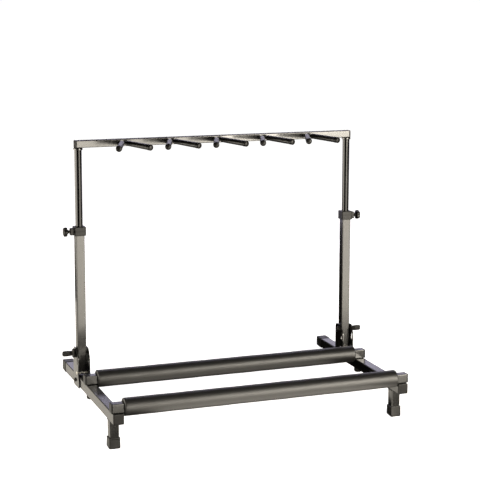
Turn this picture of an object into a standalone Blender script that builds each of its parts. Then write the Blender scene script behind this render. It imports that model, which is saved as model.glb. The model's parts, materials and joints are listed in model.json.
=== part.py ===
"""Folding floor rack for five guitars.

A tilted steel base with two foam covered cross bars carries a folding upright frame. A neck
rest with five padded yokes telescopes out of the uprights and is clamped by two thumb screws.

Frame coordinates: X to the right, Y back along the side rails from their front caps, Z up and
square to the rails from their undersides. The whole frame leans back on its front legs, so an
empty called rack_tilt turns and lifts it onto the floor, and the parts hang below that empty.
"""
import math

import bmesh
import bpy
from mathutils import Vector

# Driving dimensions, in metres.
RACK_WIDTH = 0.735          # over the two side rails
RAIL_LENGTH = 0.500         # over the front cap and the rear foot
RAIL_SIZE = 0.025
UPRIGHT_SIZE = 0.022
BAR_SIZE = 0.022
LEG_SIZE = 0.022
TOP_BAR_SIZE = 0.018
ROUND_TUBE_RADIUS = 0.009
FOAM_RADIUS = 0.021
WALL = 0.0015               # steel tube wall
GAP = 0.0003                # clearance between pieces that touch

# Places along the rails and up the frame.
FRONT_BAR_Y = 0.0165
REAR_BAR_Y = 0.2595
LEG_Y = 0.050
LEG_DROP = 0.066            # rail underside to the foot's sole, at the leg's centre
UPRIGHT_Y = 0.351
PIVOT_Z = 0.080
UPRIGHT_FOOT_Z = 0.029
COLLAR_TOP_Z = 0.396
NECK_BAR_Z = 0.589          # underside of the top bar

# Base details.
CAP_HEAD = 0.004
REAR_FOOT_SIZE = 0.027
REAR_FOOT_LENGTH = 0.030
REAR_FACET_LENGTH = 0.022   # part of the rear foot's underside that lies on the floor
CORE_DEPTH = 0.020
FOOT_SIZE = 0.027
FOOT_HEIGHT = 0.024
FOOT_SOLE = 0.005
BAR_PLUG_HEAD = 0.003
FOAM_HALF_LENGTH = 0.340
FRONT_BOLT = (0.0065, 0.0030)    # radius and height of the bolt heads below the rails
REAR_BOLT = (0.0100, 0.0120)    # a hand screw's head, larger than the front bolt's
BOLT_RADIUS = 0.003

# Hinge bracket, on each side of a rail.
PLATE_THICKNESS = 0.0025
PLATE_FLARE_Y = 0.316
PLATE_FRONT_Y = 0.322
PLATE_TOP_FRONT_Y = 0.337
PLATE_REAR_Y = 0.370
PLATE_BOTTOM_Z = -0.002
PLATE_FLARE_Z = 0.026
PLATE_SHOULDER_Z = 0.072
PLATE_TOP_Z = 0.094
WINDOW_Y = 0.330
WINDOW_Z = (0.055, 0.074)
WINDOW_RADIUS = 0.0037
STOP_SLEEVE_RADIUS = 0.004
STOP_Z = 0.033
PIVOT_RADIUS = 0.0039
BRACKET_BOLT_Z = 0.0125

# Clamp collar and thumb screws.
COLLAR_SIZE = 0.0285
COLLAR_HEIGHT = 0.022
COLLAR_RIM = 0.005          # top wall of the collar, over the upright's end
LUG_REACH = 0.009
LUG_WIDTH = 0.013
LUG_HEIGHT = 0.0175
THUMB_SCREW_DROP = 0.012    # collar top to the screw's axis
THUMB_SCREW_RADIUS = 0.0025
THUMB_HEAD_RADIUS = 0.0118
THUMB_HEAD_DEPTH = 0.012
THUMB_STEM = 0.004
LOCK_DISC = (0.0115, 0.006)      # radius and depth of the lock knob's disc
LOCK_GRIP = (0.026, 0.0075, 0.0135)

# Neck rest.
TOP_BAR_HALF = 0.360
TOP_PLUG_HEAD = 0.004
TUBE_HIDDEN = 0.120         # length of round tube inside each lower upright
TUBE_RING = (0.0115, 0.005)      # radius and height of the ring under the top bar
YOKE_COUNT = 5
YOKE_SPACING = 0.1217
YOKE_HALF_TIP = 0.0387      # half the distance between a yoke's two tips
YOKE_TIP_Y = 0.2423
YOKE_TIP_DROP = 0.0026
YOKE_ROD_RADIUS = 0.004
YOKE_BEND = 0.007
SLEEVE_ROOT_RADIUS = 0.0066
SLEEVE_TIP_RADIUS = 0.0071
SLEEVE_CAP_RADIUS = 0.0076
SLEEVE_CAP_LENGTH = 0.012

# Worked out from the driving dimensions.
RAIL_X = (RACK_WIDTH - RAIL_SIZE) / 2
REAR_FOOT_DROP = (REAR_FOOT_SIZE - RAIL_SIZE) / 2
REAR_CONTACT_Y = RAIL_LENGTH - REAR_FACET_LENGTH
TILT = math.atan((LEG_DROP - REAR_FOOT_DROP) / (REAR_CONTACT_Y - LEG_Y))
DEPTH_MIDDLE = 0.249148     # half of the rack's depth on the floor
FLOOR_POINT = Vector((0, LEG_Y, -LEG_DROP))
FLOOR_NORMAL = Vector((0, -math.sin(TILT), math.cos(TILT)))
SIDES = {"left": -1, "right": 1}

for old in list(bpy.data.objects):
    bpy.data.objects.remove(old, do_unlink=True)

PARTS = bpy.data.collections.new("guitar_rack")
CUTTERS = bpy.data.collections.new("cutters")
for group in (PARTS, CUTTERS):
    bpy.context.scene.collection.children.link(group)


def finish(name, colour, roughness, metallic=0.0):
    """A Principled material with one colour."""
    material = bpy.data.materials.new(name)
    material.use_nodes = True
    shader = material.node_tree.nodes["Principled BSDF"]
    shader.inputs["Base Color"].default_value = (*colour, 1)
    shader.inputs["Roughness"].default_value = roughness
    shader.inputs["Metallic"].default_value = metallic
    return material


BLACK_STEEL = finish("black_powder_coat", (0.035, 0.034, 0.033), 0.4)
GLOSS_TUBE = finish("black_enamelled_tube", (0.012, 0.012, 0.012), 0.12)
BLACK_PLASTIC = finish("black_plastic", (0.02, 0.02, 0.02), 0.5)
FOAM = finish("black_foam", (0.03, 0.028, 0.026), 0.75)
RUBBER = finish("black_rubber", (0.025, 0.024, 0.024), 0.6)
ZINC = finish("zinc_plate", (0.7, 0.7, 0.68), 0.3, 1.0)
BLACK_BOLT = finish("black_oxide_bolt", (0.05, 0.05, 0.05), 0.45, 1.0)


def joint_empty(name, at, parent=None):
    """An empty on a joint's axis, placed in frame coordinates."""
    empty = bpy.data.objects.new(name, None)
    PARTS.objects.link(empty)
    empty["frame_place"] = at
    if parent is not None:
        empty.parent = parent
        empty.location = Vector(at) - Vector(parent["frame_place"])
    return empty


def hang(obj, parent, at, collection=PARTS):
    """Links an object and places it in frame coordinates below a joint's empty."""
    collection.objects.link(obj)
    obj.parent = parent
    obj.location = Vector(at) - Vector(parent["frame_place"])
    return obj


def part(name, mesh, material, parent, at, direction=None):
    """A named part whose local Z axis points along a direction."""
    mesh.materials.append(material)
    obj = hang(bpy.data.objects.new(name, mesh), parent, at)
    if direction is not None:
        obj.rotation_euler = Vector(direction).to_track_quat("Z", "Y").to_euler()
    return obj


def mesh_of(bm, name):
    """Turns a bmesh into a mesh whose flat and round faces are shaded as such."""
    bmesh.ops.recalc_face_normals(bm, faces=bm.faces)
    mesh = bpy.data.meshes.new(name)
    bm.to_mesh(mesh)
    bm.free()
    mesh.shade_smooth()
    mesh.set_sharp_from_angle(angle=math.radians(35))
    return mesh


def block(size, bevel, keep_side=None, floor=None, segments=2):
    """A box around the origin, with rounded edges except those of the face towards keep_side.

    With a floor, given as a point and a normal, what lies below that plane is cut away first.
    """
    bm = bmesh.new()
    bmesh.ops.create_cube(bm, size=1)
    bmesh.ops.scale(bm, vec=size, verts=bm.verts)
    if floor is not None:
        everything = bm.verts[:] + bm.edges[:] + bm.faces[:]
        bmesh.ops.bisect_plane(bm, geom=everything, plane_co=floor[0], plane_no=floor[1],
                               clear_inner=True)
        bmesh.ops.holes_fill(bm, edges=bm.edges)
    kept = set()
    if keep_side is not None:
        kept = set(side_face(bm, keep_side).edges)
    rounded = [edge for edge in bm.edges if edge not in kept]
    bmesh.ops.bevel(bm, geom=rounded, offset=bevel, segments=segments, profile=0.5,
                    affect="EDGES", clamp_overlap=True)
    return bm


def side_face(bm, direction):
    """The face that lies furthest out along a direction."""
    bm.normal_update()
    return max(bm.faces, key=lambda face: (round(face.normal.dot(direction), 3), face.calc_area()))


def grow_core(bm, direction, core_ratio, depth):
    """Shrinks a copy of a block's face and pushes it out as a core, or in as a pocket."""
    step = side_face(bm, direction)
    centre = step.calc_center_median()
    for factor, distance in ((core_ratio, 0), (1, depth)):
        step = bmesh.ops.extrude_discrete_faces(bm, faces=[step])["faces"][0]
        for vert in step.verts:
            vert.co = centre + (vert.co - centre) * factor
        bmesh.ops.translate(bm, vec=Vector(direction) * distance, verts=step.verts)
    return bm


def rounded_square(half, radius, steps=2):
    """Points round a square, with an arc of a given radius at each corner."""
    points = []
    for quarter in range(4):
        middle = math.radians(45 + 90 * quarter)
        corner_x = math.copysign(half - radius, math.cos(middle))
        corner_y = math.copysign(half - radius, math.sin(middle))
        for step in range(steps + 1):
            angle = math.radians(90 * quarter + 90 * step / steps)
            points.append((corner_x + radius * math.cos(angle), corner_y + radius * math.sin(angle)))
    return points


def circle(radius, steps, middle=(0, 0)):
    """Points round a circle."""
    turns = [2 * math.pi * step / steps for step in range(steps)]
    return [(middle[0] + radius * math.cos(turn), middle[1] + radius * math.sin(turn)) for turn in turns]


def square_tube(name, size, start, end, parent, material=BLACK_STEEL):
    """A square steel tube: an open skin with rounded corners, given its wall by Solidify."""
    start, end = Vector(start), Vector(end)
    length = (end - start).length
    bm = bmesh.new()
    ring = [bm.verts.new((x, y, 0)) for x, y in rounded_square(size / 2, size * 0.09)]
    edges = [bm.edges.new((ring[i - 1], ring[i])) for i in range(len(ring))]
    skin = bmesh.ops.extrude_edge_only(bm, edges=edges)
    far_ring = [item for item in skin["geom"] if isinstance(item, bmesh.types.BMVert)]
    bmesh.ops.translate(bm, vec=(0, 0, length), verts=far_ring)
    obj = part(name, mesh_of(bm, name), material, parent, start, end - start)
    wall = obj.modifiers.new("wall", "SOLIDIFY")
    wall.thickness = WALL
    wall.offset = -1
    wall.use_even_offset = True
    return obj


def turned(name, profile, material, parent, at, direction, steps=24, closed=False):
    """A turned piece: a profile of radius and height, top to bottom, spun by Screw."""
    count = len(profile)
    edges = [(i, i + 1) for i in range(count - 1)]
    if closed:
        edges.append((count - 1, 0))
    mesh = bpy.data.meshes.new(name)
    mesh.from_pydata([(radius, 0, height) for radius, height in profile], edges, [])
    obj = part(name, mesh, material, parent, at, direction)
    spin = obj.modifiers.new("turning", "SCREW")
    spin.steps = steps
    spin.render_steps = steps
    spin.use_merge_vertices = True
    spin.merge_threshold = 0.00001
    return obj


def extrusion(name, outlines, thickness, material, parent, at, turn):
    """A flat piece: a closed outline with holes, as a filled 2D curve of a given thickness."""
    curve = bpy.data.curves.new(name, "CURVE")
    curve.dimensions = "2D"
    curve.fill_mode = "BOTH"
    curve.extrude = thickness / 2
    for outline in outlines:
        spline = curve.splines.new("POLY")
        spline.points.add(len(outline) - 1)
        for point, (x, y) in zip(spline.points, outline):
            point.co = (x, y, 0, 1)
        spline.use_cyclic_u = True
    curve.materials.append(material)
    obj = hang(bpy.data.objects.new(name, curve), parent, at)
    obj.rotation_euler = turn
    return obj


def cutter(name, bm, parent, at, direction=None):
    """A helper solid that only cuts or joins, and isn't part of the rack."""
    obj = hang(bpy.data.objects.new(name, mesh_of(bm, name)), parent, at, CUTTERS)
    if direction is not None:
        obj.rotation_euler = Vector(direction).to_track_quat("Z", "Y").to_euler()
    obj.hide_render = True
    obj.display_type = "WIRE"
    return obj


def combine(obj, tool, operation):
    """Adds an exact Boolean to a part."""
    boolean = obj.modifiers.new(tool.name, "BOOLEAN")
    boolean.object = tool
    boolean.operation = operation
    boolean.solver = "EXACT"


def drill(obj, label, start, end, radius, steps=12):
    """Bores a round hole from start to end, in frame coordinates."""
    start, end = Vector(start), Vector(end)
    bm = bmesh.new()
    bmesh.ops.create_cone(bm, cap_ends=True, segments=steps, radius1=radius, radius2=radius,
                          depth=(end - start).length)
    tool = cutter(f"{obj.name}_{label}", bm, obj.parent, (start + end) / 2, end - start)
    combine(obj, tool, "DIFFERENCE")


# --- Joints -------------------------------------------------------------------------------

FRAME = joint_empty("rack_tilt", (0, 0, 0))
FRAME.rotation_euler = (-TILT, 0, 0)
SOLE_BELOW_ORIGIN = LEG_Y * math.sin(TILT) + LEG_DROP * math.cos(TILT)
FRAME.location = (0, -DEPTH_MIDDLE, SOLE_BELOW_ORIGIN)
UPRIGHT_PIVOT = joint_empty("upright_pivot", (0, UPRIGHT_Y, PIVOT_Z), FRAME)
NECK_SLIDE = joint_empty("neck_rest_slide", (0, UPRIGHT_Y, COLLAR_TOP_Z), UPRIGHT_PIVOT)


# --- Base ---------------------------------------------------------------------------------

def bar_bolt(name, x, y, head):
    """A bolt from below a rail, through the rail and into the plug in the bar's end."""
    head_radius, head_height = head
    tip = RAIL_SIZE + BAR_SIZE - 0.006
    profile = [(0, tip), (BOLT_RADIUS * 0.7, tip), (BOLT_RADIUS, tip - 0.001), (BOLT_RADIUS, -GAP),
               (head_radius, -GAP), (head_radius, -head_height * 0.7),
               (head_radius * 0.8, -head_height), (0, -head_height)]
    return turned(name, profile, BLACK_BOLT, FRAME, (x, y, 0), (0, 0, 1), steps=12)


def side_rail(side, sign):
    """A side rail with its front cap, rear foot, front leg and the leg's rubber foot."""
    x = sign * RAIL_X
    middle = RAIL_SIZE / 2
    tube_end = RAIL_LENGTH - REAR_FOOT_LENGTH
    rail = square_tube(f"{side}_rail", RAIL_SIZE, (x, CAP_HEAD, middle), (x, tube_end, middle), FRAME)
    for label, y in (("front_bar_hole", FRONT_BAR_Y), ("rear_bar_hole", REAR_BAR_Y)):
        drill(rail, label, (x, y, -0.005), (x, y, RAIL_SIZE + 0.005), BOLT_RADIUS + GAP)
    drill(rail, "bracket_hole", (x - RAIL_SIZE, UPRIGHT_Y, BRACKET_BOLT_Z),
          (x + RAIL_SIZE, UPRIGHT_Y, BRACKET_BOLT_Z), BOLT_RADIUS + GAP)

    core = RAIL_SIZE - 2 * (WALL + GAP)
    back = Vector((0, 1, 0))
    head = CAP_HEAD - GAP
    cap = block((RAIL_SIZE, head, RAIL_SIZE), 0.0016, keep_side=back)
    # The core stops short of the front bar's bolt.
    grow_core(cap, back, core / RAIL_SIZE, FRONT_BAR_Y - BOLT_RADIUS - CAP_HEAD - 0.001)
    part(f"{side}_rail_front_cap", mesh_of(cap, "front_cap"), BLACK_PLASTIC, FRAME, (x, head / 2, middle))

    length = REAR_FOOT_LENGTH - GAP
    centre = Vector((x, RAIL_LENGTH - length / 2, middle))
    floor = (FLOOR_POINT - Vector((0, centre.y, centre.z)), FLOOR_NORMAL)
    foot = block((REAR_FOOT_SIZE, length, REAR_FOOT_SIZE), 0.0012, keep_side=-back, floor=floor)
    grow_core(foot, -back, core / REAR_FOOT_SIZE, CORE_DEPTH)
    part(f"{side}_rail_rear_foot", mesh_of(foot, "rear_foot"), BLACK_PLASTIC, FRAME, centre)


def front_leg(side, sign):
    """A short leg below a rail's front end, in a rubber foot whose sole is level."""
    x = sign * RAIL_X
    leg_end = -(LEG_DROP - FOOT_SOLE)
    square_tube(f"{side}_front_leg", LEG_SIZE, (x, LEG_Y, -GAP), (x, LEG_Y, leg_end), FRAME)

    top = -LEG_DROP + FOOT_HEIGHT
    reach = FOOT_SIZE * math.tan(TILT)
    height = FOOT_HEIGHT + reach
    centre = Vector((x, LEG_Y, top - height / 2))
    floor = (FLOOR_POINT - Vector((0, centre.y, centre.z)), FLOOR_NORMAL)
    up = Vector((0, 0, 1))
    pad = block((FOOT_SIZE, FOOT_SIZE, height), 0.002, keep_side=up, floor=floor)
    pocket = LEG_SIZE + 2 * GAP
    grow_core(pad, up, pocket / FOOT_SIZE, -(FOOT_HEIGHT - FOOT_SOLE + 2 * GAP))
    part(f"{side}_foot_pad", mesh_of(pad, "foot_pad"), RUBBER, FRAME, centre)


def cross_bar(place, y, bolt_head):
    """A square bar over both rails with its foam sleeve, end plugs and bolts."""
    half = RACK_WIDTH / 2
    z = RAIL_SIZE + GAP + BAR_SIZE / 2
    bar = square_tube(f"{place}_bar", BAR_SIZE, (-half, y, z), (half, y, z), FRAME)
    bore = rounded_square(BAR_SIZE / 2 + GAP, BAR_SIZE * 0.09)
    extrusion(f"{place}_foam", [circle(FOAM_RADIUS, 32), bore], 2 * FOAM_HALF_LENGTH, FOAM, FRAME,
              (0, y, z), (math.radians(90), 0, math.radians(90)))
    for side, sign in SIDES.items():
        x = sign * RAIL_X
        drill(bar, f"{side}_hole", (x, y, RAIL_SIZE - 0.005), (x, y, RAIL_SIZE + 0.005), BOLT_RADIUS + GAP)
        inward = Vector((-sign, 0, 0))
        head = BAR_PLUG_HEAD - GAP
        head_size = BAR_SIZE + 0.0004
        plug = block((head, head_size, head_size), 0.0009, keep_side=inward)
        grow_core(plug, inward, (BAR_SIZE - 2 * (WALL + GAP)) / head_size, RAIL_SIZE - 0.002)
        centre = (sign * (half + BAR_PLUG_HEAD - head / 2), y, z)
        obj = part(f"{place}_bar_{side}_plug", mesh_of(plug, "bar_plug"), BLACK_PLASTIC, FRAME, centre)
        drill(obj, "bolt_hole", (x, y, RAIL_SIZE), (x, y, RAIL_SIZE + BAR_SIZE - 0.005), BOLT_RADIUS + GAP)
        bar_bolt(f"{place}_bar_{side}_bolt", x, y, bolt_head)


# --- Hinge brackets -----------------------------------------------------------------------

def plate_outline():
    """The bracket plate's outline, in frame Y and Z from the upright's centre line."""
    corners = [(PLATE_FLARE_Y, PLATE_BOTTOM_Z), (PLATE_REAR_Y, PLATE_BOTTOM_Z),
               (PLATE_REAR_Y, PLATE_TOP_Z - 0.006), (PLATE_REAR_Y - 0.006, PLATE_TOP_Z),
               (PLATE_TOP_FRONT_Y, PLATE_TOP_Z), (PLATE_FRONT_Y, PLATE_SHOULDER_Z),
               (PLATE_FRONT_Y, PLATE_FLARE_Z), (PLATE_FLARE_Y, PLATE_FLARE_Z - 0.012)]
    return round_corners(corners, 0.003)


def round_corners(corners, radius, steps=2):
    """Replaces each corner of a polygon by a short arc, as a quadratic curve through it."""
    points = []
    for i, corner in enumerate(corners):
        here = Vector(corner)
        back = (Vector(corners[i - 1]) - here).normalized() * radius
        ahead = (Vector(corners[(i + 1) % len(corners)]) - here).normalized() * radius
        for step in range(steps + 1):
            t = step / steps
            points.append(tuple(here + back * (1 - t) ** 2 + ahead * t ** 2))
    return points


def slot(low, high, radius, middle, steps=4):
    """An upright slot with round ends."""
    points = []
    for end, start_angle in ((high - radius, 0), (low + radius, 180)):
        for step in range(steps + 1):
            angle = math.radians(start_angle + 180 * step / steps)
            points.append((middle + radius * math.cos(angle), end + radius * math.sin(angle)))
    return points


def hinge_bracket(side, sign):
    """Two plates on a rail's flanks, their bolt, the stop pin and the pivot bolt."""
    x = sign * RAIL_X
    plate_x = RAIL_SIZE / 2 + GAP + PLATE_THICKNESS / 2
    stop_y = UPRIGHT_Y - UPRIGHT_SIZE / 2 - GAP - STOP_SLEEVE_RADIUS
    outlines = [plate_outline(),
                slot(*WINDOW_Z, WINDOW_RADIUS, WINDOW_Y),
                circle(PIVOT_RADIUS + GAP, 14, (UPRIGHT_Y, PIVOT_Z)),
                circle(BOLT_RADIUS + GAP, 12, (stop_y, STOP_Z)),
                circle(BOLT_RADIUS + GAP, 12, (UPRIGHT_Y, BRACKET_BOLT_Z))]
    for label, offset in (("inner", -sign * plate_x), ("outer", sign * plate_x)):
        extrusion(f"{side}_bracket_{label}_plate", outlines, PLATE_THICKNESS, BLACK_STEEL, FRAME,
                  (x + offset, 0, 0), (math.radians(90), 0, math.radians(90)))

    outside = plate_x + PLATE_THICKNESS / 2 + GAP
    inside = RAIL_SIZE / 2
    outward = (sign, 0, 0)
    rivet = [(0, outside + 0.0015), (0.003, outside + 0.0015), (0.0045, outside), (BOLT_RADIUS, outside),
             (BOLT_RADIUS, inside), (STOP_SLEEVE_RADIUS, inside)]
    pin = rivet + [(radius, -height) for radius, height in reversed(rivet)]
    turned(f"{side}_stop_pin", pin, ZINC, FRAME, (x, stop_y, STOP_Z), outward, steps=12)

    bolt = [(0, outside + 0.0035), (0.003, outside + 0.0033), (0.005, outside + 0.0015),
            (0.0052, outside), (BOLT_RADIUS, outside), (BOLT_RADIUS, -outside), (0.0052, -outside),
            (0.0052, -outside - 0.0045), (BOLT_RADIUS, -outside - 0.005), (BOLT_RADIUS, -outside - 0.007),
            (0, -outside - 0.007)]
    turned(f"{side}_bracket_bolt", bolt, BLACK_BOLT, FRAME, (x, UPRIGHT_Y, BRACKET_BOLT_Z), outward, steps=12)

    thread_end = outside + 0.013
    pivot = [(0, thread_end), (PIVOT_RADIUS, thread_end), (PIVOT_RADIUS, -outside), (0.0085, -outside),
             (0.0075, -outside - 0.0025), (0.0045, -outside - 0.0042), (0, -outside - 0.0046)]
    turned(f"{side}_pivot_bolt", pivot, BLACK_BOLT, FRAME, (x, UPRIGHT_Y, PIVOT_Z), outward, steps=14)


def lock_knob(side, sign):
    """The knob that clamps the bracket: a disc over the pivot bolt's thread, with a flat grip."""
    radius, depth = LOCK_DISC
    length, thickness, height = LOCK_GRIP
    start = RAIL_SIZE / 2 + PLATE_THICKNESS + 3 * GAP
    bore = PIVOT_RADIUS + GAP
    bore_end = 0.0138
    total = depth + length
    profile = [(0, bore_end + 0.003), (0.0062, bore_end + 0.003), (0.0066, depth), (radius, depth),
               (radius, 0.001), (radius - 0.001, 0), (bore, 0), (bore, bore_end), (0, bore_end)]
    x = sign * (RAIL_X + start)
    axis = joint_empty(f"{side}_lock_knob_axis", (x, UPRIGHT_Y, PIVOT_Z), FRAME)
    knob = turned(f"{side}_lock_knob", profile, BLACK_PLASTIC, axis, (x, UPRIGHT_Y, PIVOT_Z),
                  (sign, 0, 0), steps=20)
    # The grip starts past the thread, so that the bore stays open.
    grip_start = bore_end + 0.001
    grip = block((total - grip_start, thickness, height), 0.0025)
    tool = cutter(f"{side}_lock_grip", grip, axis, (x + sign * (total + grip_start) / 2, UPRIGHT_Y, PIVOT_Z))
    combine(knob, tool, "UNION")
    return knob


# --- Uprights -----------------------------------------------------------------------------

def lower_upright(side, sign):
    """The square lower tube of an upright, with the collar that clamps the round tube."""
    x = sign * RAIL_X
    seat = COLLAR_TOP_Z - COLLAR_RIM - GAP
    screw_z = COLLAR_TOP_Z - THUMB_SCREW_DROP
    upright = square_tube(f"{side}_lower_upright", UPRIGHT_SIZE, (x, UPRIGHT_Y, UPRIGHT_FOOT_Z),
                          (x, UPRIGHT_Y, seat), UPRIGHT_PIVOT)
    drill(upright, "pivot_hole", (x - UPRIGHT_SIZE, UPRIGHT_Y, PIVOT_Z),
          (x + UPRIGHT_SIZE, UPRIGHT_Y, PIVOT_Z), PIVOT_RADIUS + GAP)
    drill(upright, "screw_hole", (x, UPRIGHT_Y, screw_z), (x + sign * UPRIGHT_SIZE, UPRIGHT_Y, screw_z),
          THUMB_SCREW_RADIUS + GAP)

    centre_z = COLLAR_TOP_Z - COLLAR_HEIGHT / 2
    body = block((COLLAR_SIZE, COLLAR_SIZE, COLLAR_HEIGHT), 0.0012)
    collar = part(f"{side}_height_collar", mesh_of(body, "collar"), BLACK_PLASTIC, UPRIGHT_PIVOT,
                  (x, UPRIGHT_Y, centre_z))
    overlap = 0.003
    lug = block((LUG_REACH + overlap, LUG_WIDTH, LUG_HEIGHT), 0.001)
    lug_x = x + sign * (COLLAR_SIZE + LUG_REACH - overlap) / 2
    combine(collar, cutter(f"{side}_lug", lug, UPRIGHT_PIVOT, (lug_x, UPRIGHT_Y, screw_z)), "UNION")
    pocket_size = UPRIGHT_SIZE + 2 * GAP
    pocket = block((pocket_size, pocket_size, COLLAR_HEIGHT), 0.0015, keep_side=Vector((0, 0, 1)))
    pocket_z = COLLAR_TOP_Z - COLLAR_RIM - COLLAR_HEIGHT / 2
    combine(collar, cutter(f"{side}_pocket", pocket, UPRIGHT_PIVOT, (x, UPRIGHT_Y, pocket_z)), "DIFFERENCE")
    drill(collar, "tube_bore", (x, UPRIGHT_Y, COLLAR_TOP_Z - 2 * COLLAR_RIM),
          (x, UPRIGHT_Y, COLLAR_TOP_Z + COLLAR_RIM), ROUND_TUBE_RADIUS + GAP, steps=24)
    drill(collar, "screw_bore", (x, UPRIGHT_Y, screw_z),
          (x + sign * (COLLAR_SIZE + LUG_REACH), UPRIGHT_Y, screw_z), THUMB_SCREW_RADIUS + GAP)


def height_knob(side, sign):
    """The thumb screw of a collar: a lobed head on a screw that bears on the round tube."""
    screw_z = COLLAR_TOP_Z - THUMB_SCREW_DROP
    lug_face = COLLAR_SIZE / 2 + LUG_REACH
    neck = lug_face + THUMB_STEM
    top = neck + THUMB_HEAD_DEPTH
    x = sign * RAIL_X
    profile = [(0, top - 0.001), (THUMB_HEAD_RADIUS * 0.5, top), (THUMB_HEAD_RADIUS * 0.86, top),
               (THUMB_HEAD_RADIUS, top - 0.002), (THUMB_HEAD_RADIUS, neck + 0.0045),
               (THUMB_HEAD_RADIUS * 0.86, neck + 0.003), (0.0058, neck + 0.0015), (0.0042, neck),
               (THUMB_SCREW_RADIUS, neck - 0.0005), (THUMB_SCREW_RADIUS, ROUND_TUBE_RADIUS + 2 * GAP),
               (0, ROUND_TUBE_RADIUS + GAP)]
    axis = joint_empty(f"{side}_height_knob_axis", (x, UPRIGHT_Y, screw_z), UPRIGHT_PIVOT)
    turned(f"{side}_height_knob", profile, BLACK_PLASTIC, axis, (x, UPRIGHT_Y, screw_z), (sign, 0, 0), steps=20)


# --- Neck rest ----------------------------------------------------------------------------

def upper_tube(side, sign):
    """A round tube that telescopes in the lower upright, with the ring it is welded on by."""
    x = sign * RAIL_X
    bottom = COLLAR_TOP_Z - TUBE_HIDDEN
    top = NECK_BAR_Z - GAP
    ring_radius, ring_height = TUBE_RING
    bore = ROUND_TUBE_RADIUS - WALL
    profile = [(ring_radius - 0.0008, top), (ring_radius, top - 0.0008), (ring_radius, top - ring_height),
               (ROUND_TUBE_RADIUS, top - ring_height - 0.0006), (ROUND_TUBE_RADIUS, bottom),
               (bore, bottom), (bore, top)]
    place = Vector((x, UPRIGHT_Y, 0))
    turned(f"{side}_upper_tube", profile, GLOSS_TUBE, NECK_SLIDE, place, (0, 0, 1), steps=24, closed=True)


def top_bar():
    """The square bar on the two round tubes, with a plug in each end."""
    z = NECK_BAR_Z + TOP_BAR_SIZE / 2
    square_tube("top_bar", TOP_BAR_SIZE, (-TOP_BAR_HALF, UPRIGHT_Y, z), (TOP_BAR_HALF, UPRIGHT_Y, z), NECK_SLIDE)
    for side, sign in SIDES.items():
        inward = Vector((-sign, 0, 0))
        head = TOP_PLUG_HEAD - GAP
        head_size = TOP_BAR_SIZE + 0.0006
        plug = block((head, head_size, head_size), 0.0011, keep_side=inward)
        grow_core(plug, inward, (TOP_BAR_SIZE - 2 * (WALL + GAP)) / head_size, CORE_DEPTH)
        centre = (sign * (TOP_BAR_HALF + TOP_PLUG_HEAD - head / 2), UPRIGHT_Y, z)
        part(f"top_bar_{side}_plug", mesh_of(plug, "top_plug"), BLACK_PLASTIC, NECK_SLIDE, centre)


def yoke_apex():
    """Where the centre lines of a yoke's two prongs would meet, and their half angle.

    The bend's outer side touches the bar's front face, so the meeting point lies behind it by
    the distance from a fillet to its corner. A few rounds of substitution settle both.
    """
    bend_back = UPRIGHT_Y - TOP_BAR_SIZE / 2 - GAP - YOKE_ROD_RADIUS
    apex_y = bend_back
    half_angle = 0.0
    for _ in range(20):
        half_angle = math.atan(YOKE_HALF_TIP / (apex_y - YOKE_TIP_Y))
        apex_y = bend_back + YOKE_BEND / math.sin(half_angle) - YOKE_BEND
    return apex_y, half_angle


def yoke(number, x):
    """A steel rod bent to a V on the bar's front face, with a padded sleeve on each prong."""
    apex_y, half_angle = yoke_apex()
    z = NECK_BAR_Z + TOP_BAR_SIZE / 2
    droop = YOKE_TIP_DROP / (apex_y - YOKE_TIP_Y)
    bend_middle = apex_y - YOKE_BEND / math.sin(half_angle)
    reach = YOKE_TIP_Y + 0.003

    def at(offset, y):
        return (x + offset, y, z - (apex_y - y) * droop)

    points = [at(-(apex_y - reach) * math.tan(half_angle), reach)]
    bend_steps = 4
    for step in range(bend_steps + 1):
        angle = (math.pi - 2 * half_angle) * (step / bend_steps - 0.5)
        points.append(at(YOKE_BEND * math.sin(angle), bend_middle + YOKE_BEND * math.cos(angle)))
    points.append(at((apex_y - reach) * math.tan(half_angle), reach))

    curve = bpy.data.curves.new(f"yoke_{number}_rod", "CURVE")
    curve.dimensions = "3D"
    curve.bevel_depth = YOKE_ROD_RADIUS
    curve.bevel_resolution = 1
    curve.use_fill_caps = True
    curve.resolution_u = 1
    spline = curve.splines.new("POLY")
    spline.points.add(len(points) - 1)
    for point, place in zip(spline.points, points):
        point.co = (place[0] - x, place[1] - apex_y, place[2] - z, 1)
    curve.materials.append(BLACK_STEEL)
    hang(bpy.data.objects.new(f"yoke_{number}_rod", curve), NECK_SLIDE, (x, apex_y, z))

    for side, sign in SIDES.items():
        tip = Vector(at(sign * YOKE_HALF_TIP, YOKE_TIP_Y))
        apex = Vector((x, apex_y, z))
        sleeve(f"yoke_{number}_{side}_sleeve", apex, tip, half_angle)


def sleeve(name, apex, tip, half_angle):
    """A soft sleeve with a closed, thicker end, from near the bend to the prong's tip."""
    along = tip - apex
    length = along.length
    start = (SLEEVE_ROOT_RADIUS + GAP) / math.sin(half_angle) + 0.001
    cap_start = length + 0.0045 - SLEEVE_CAP_LENGTH
    end = length + 0.0045
    dome = SLEEVE_CAP_RADIUS
    profile = [(0, end), (dome * 0.7, end - 0.0008), (dome, end - 0.004),
               (dome, cap_start), (SLEEVE_TIP_RADIUS, cap_start - 0.0004),
               (SLEEVE_ROOT_RADIUS, start), (YOKE_ROD_RADIUS + GAP, start),
               (YOKE_ROD_RADIUS + GAP, length - 0.0015), (0, length - 0.0015)]
    turned(name, profile, RUBBER, NECK_SLIDE, apex, along, steps=14)


# --- Assembly -----------------------------------------------------------------------------

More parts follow.
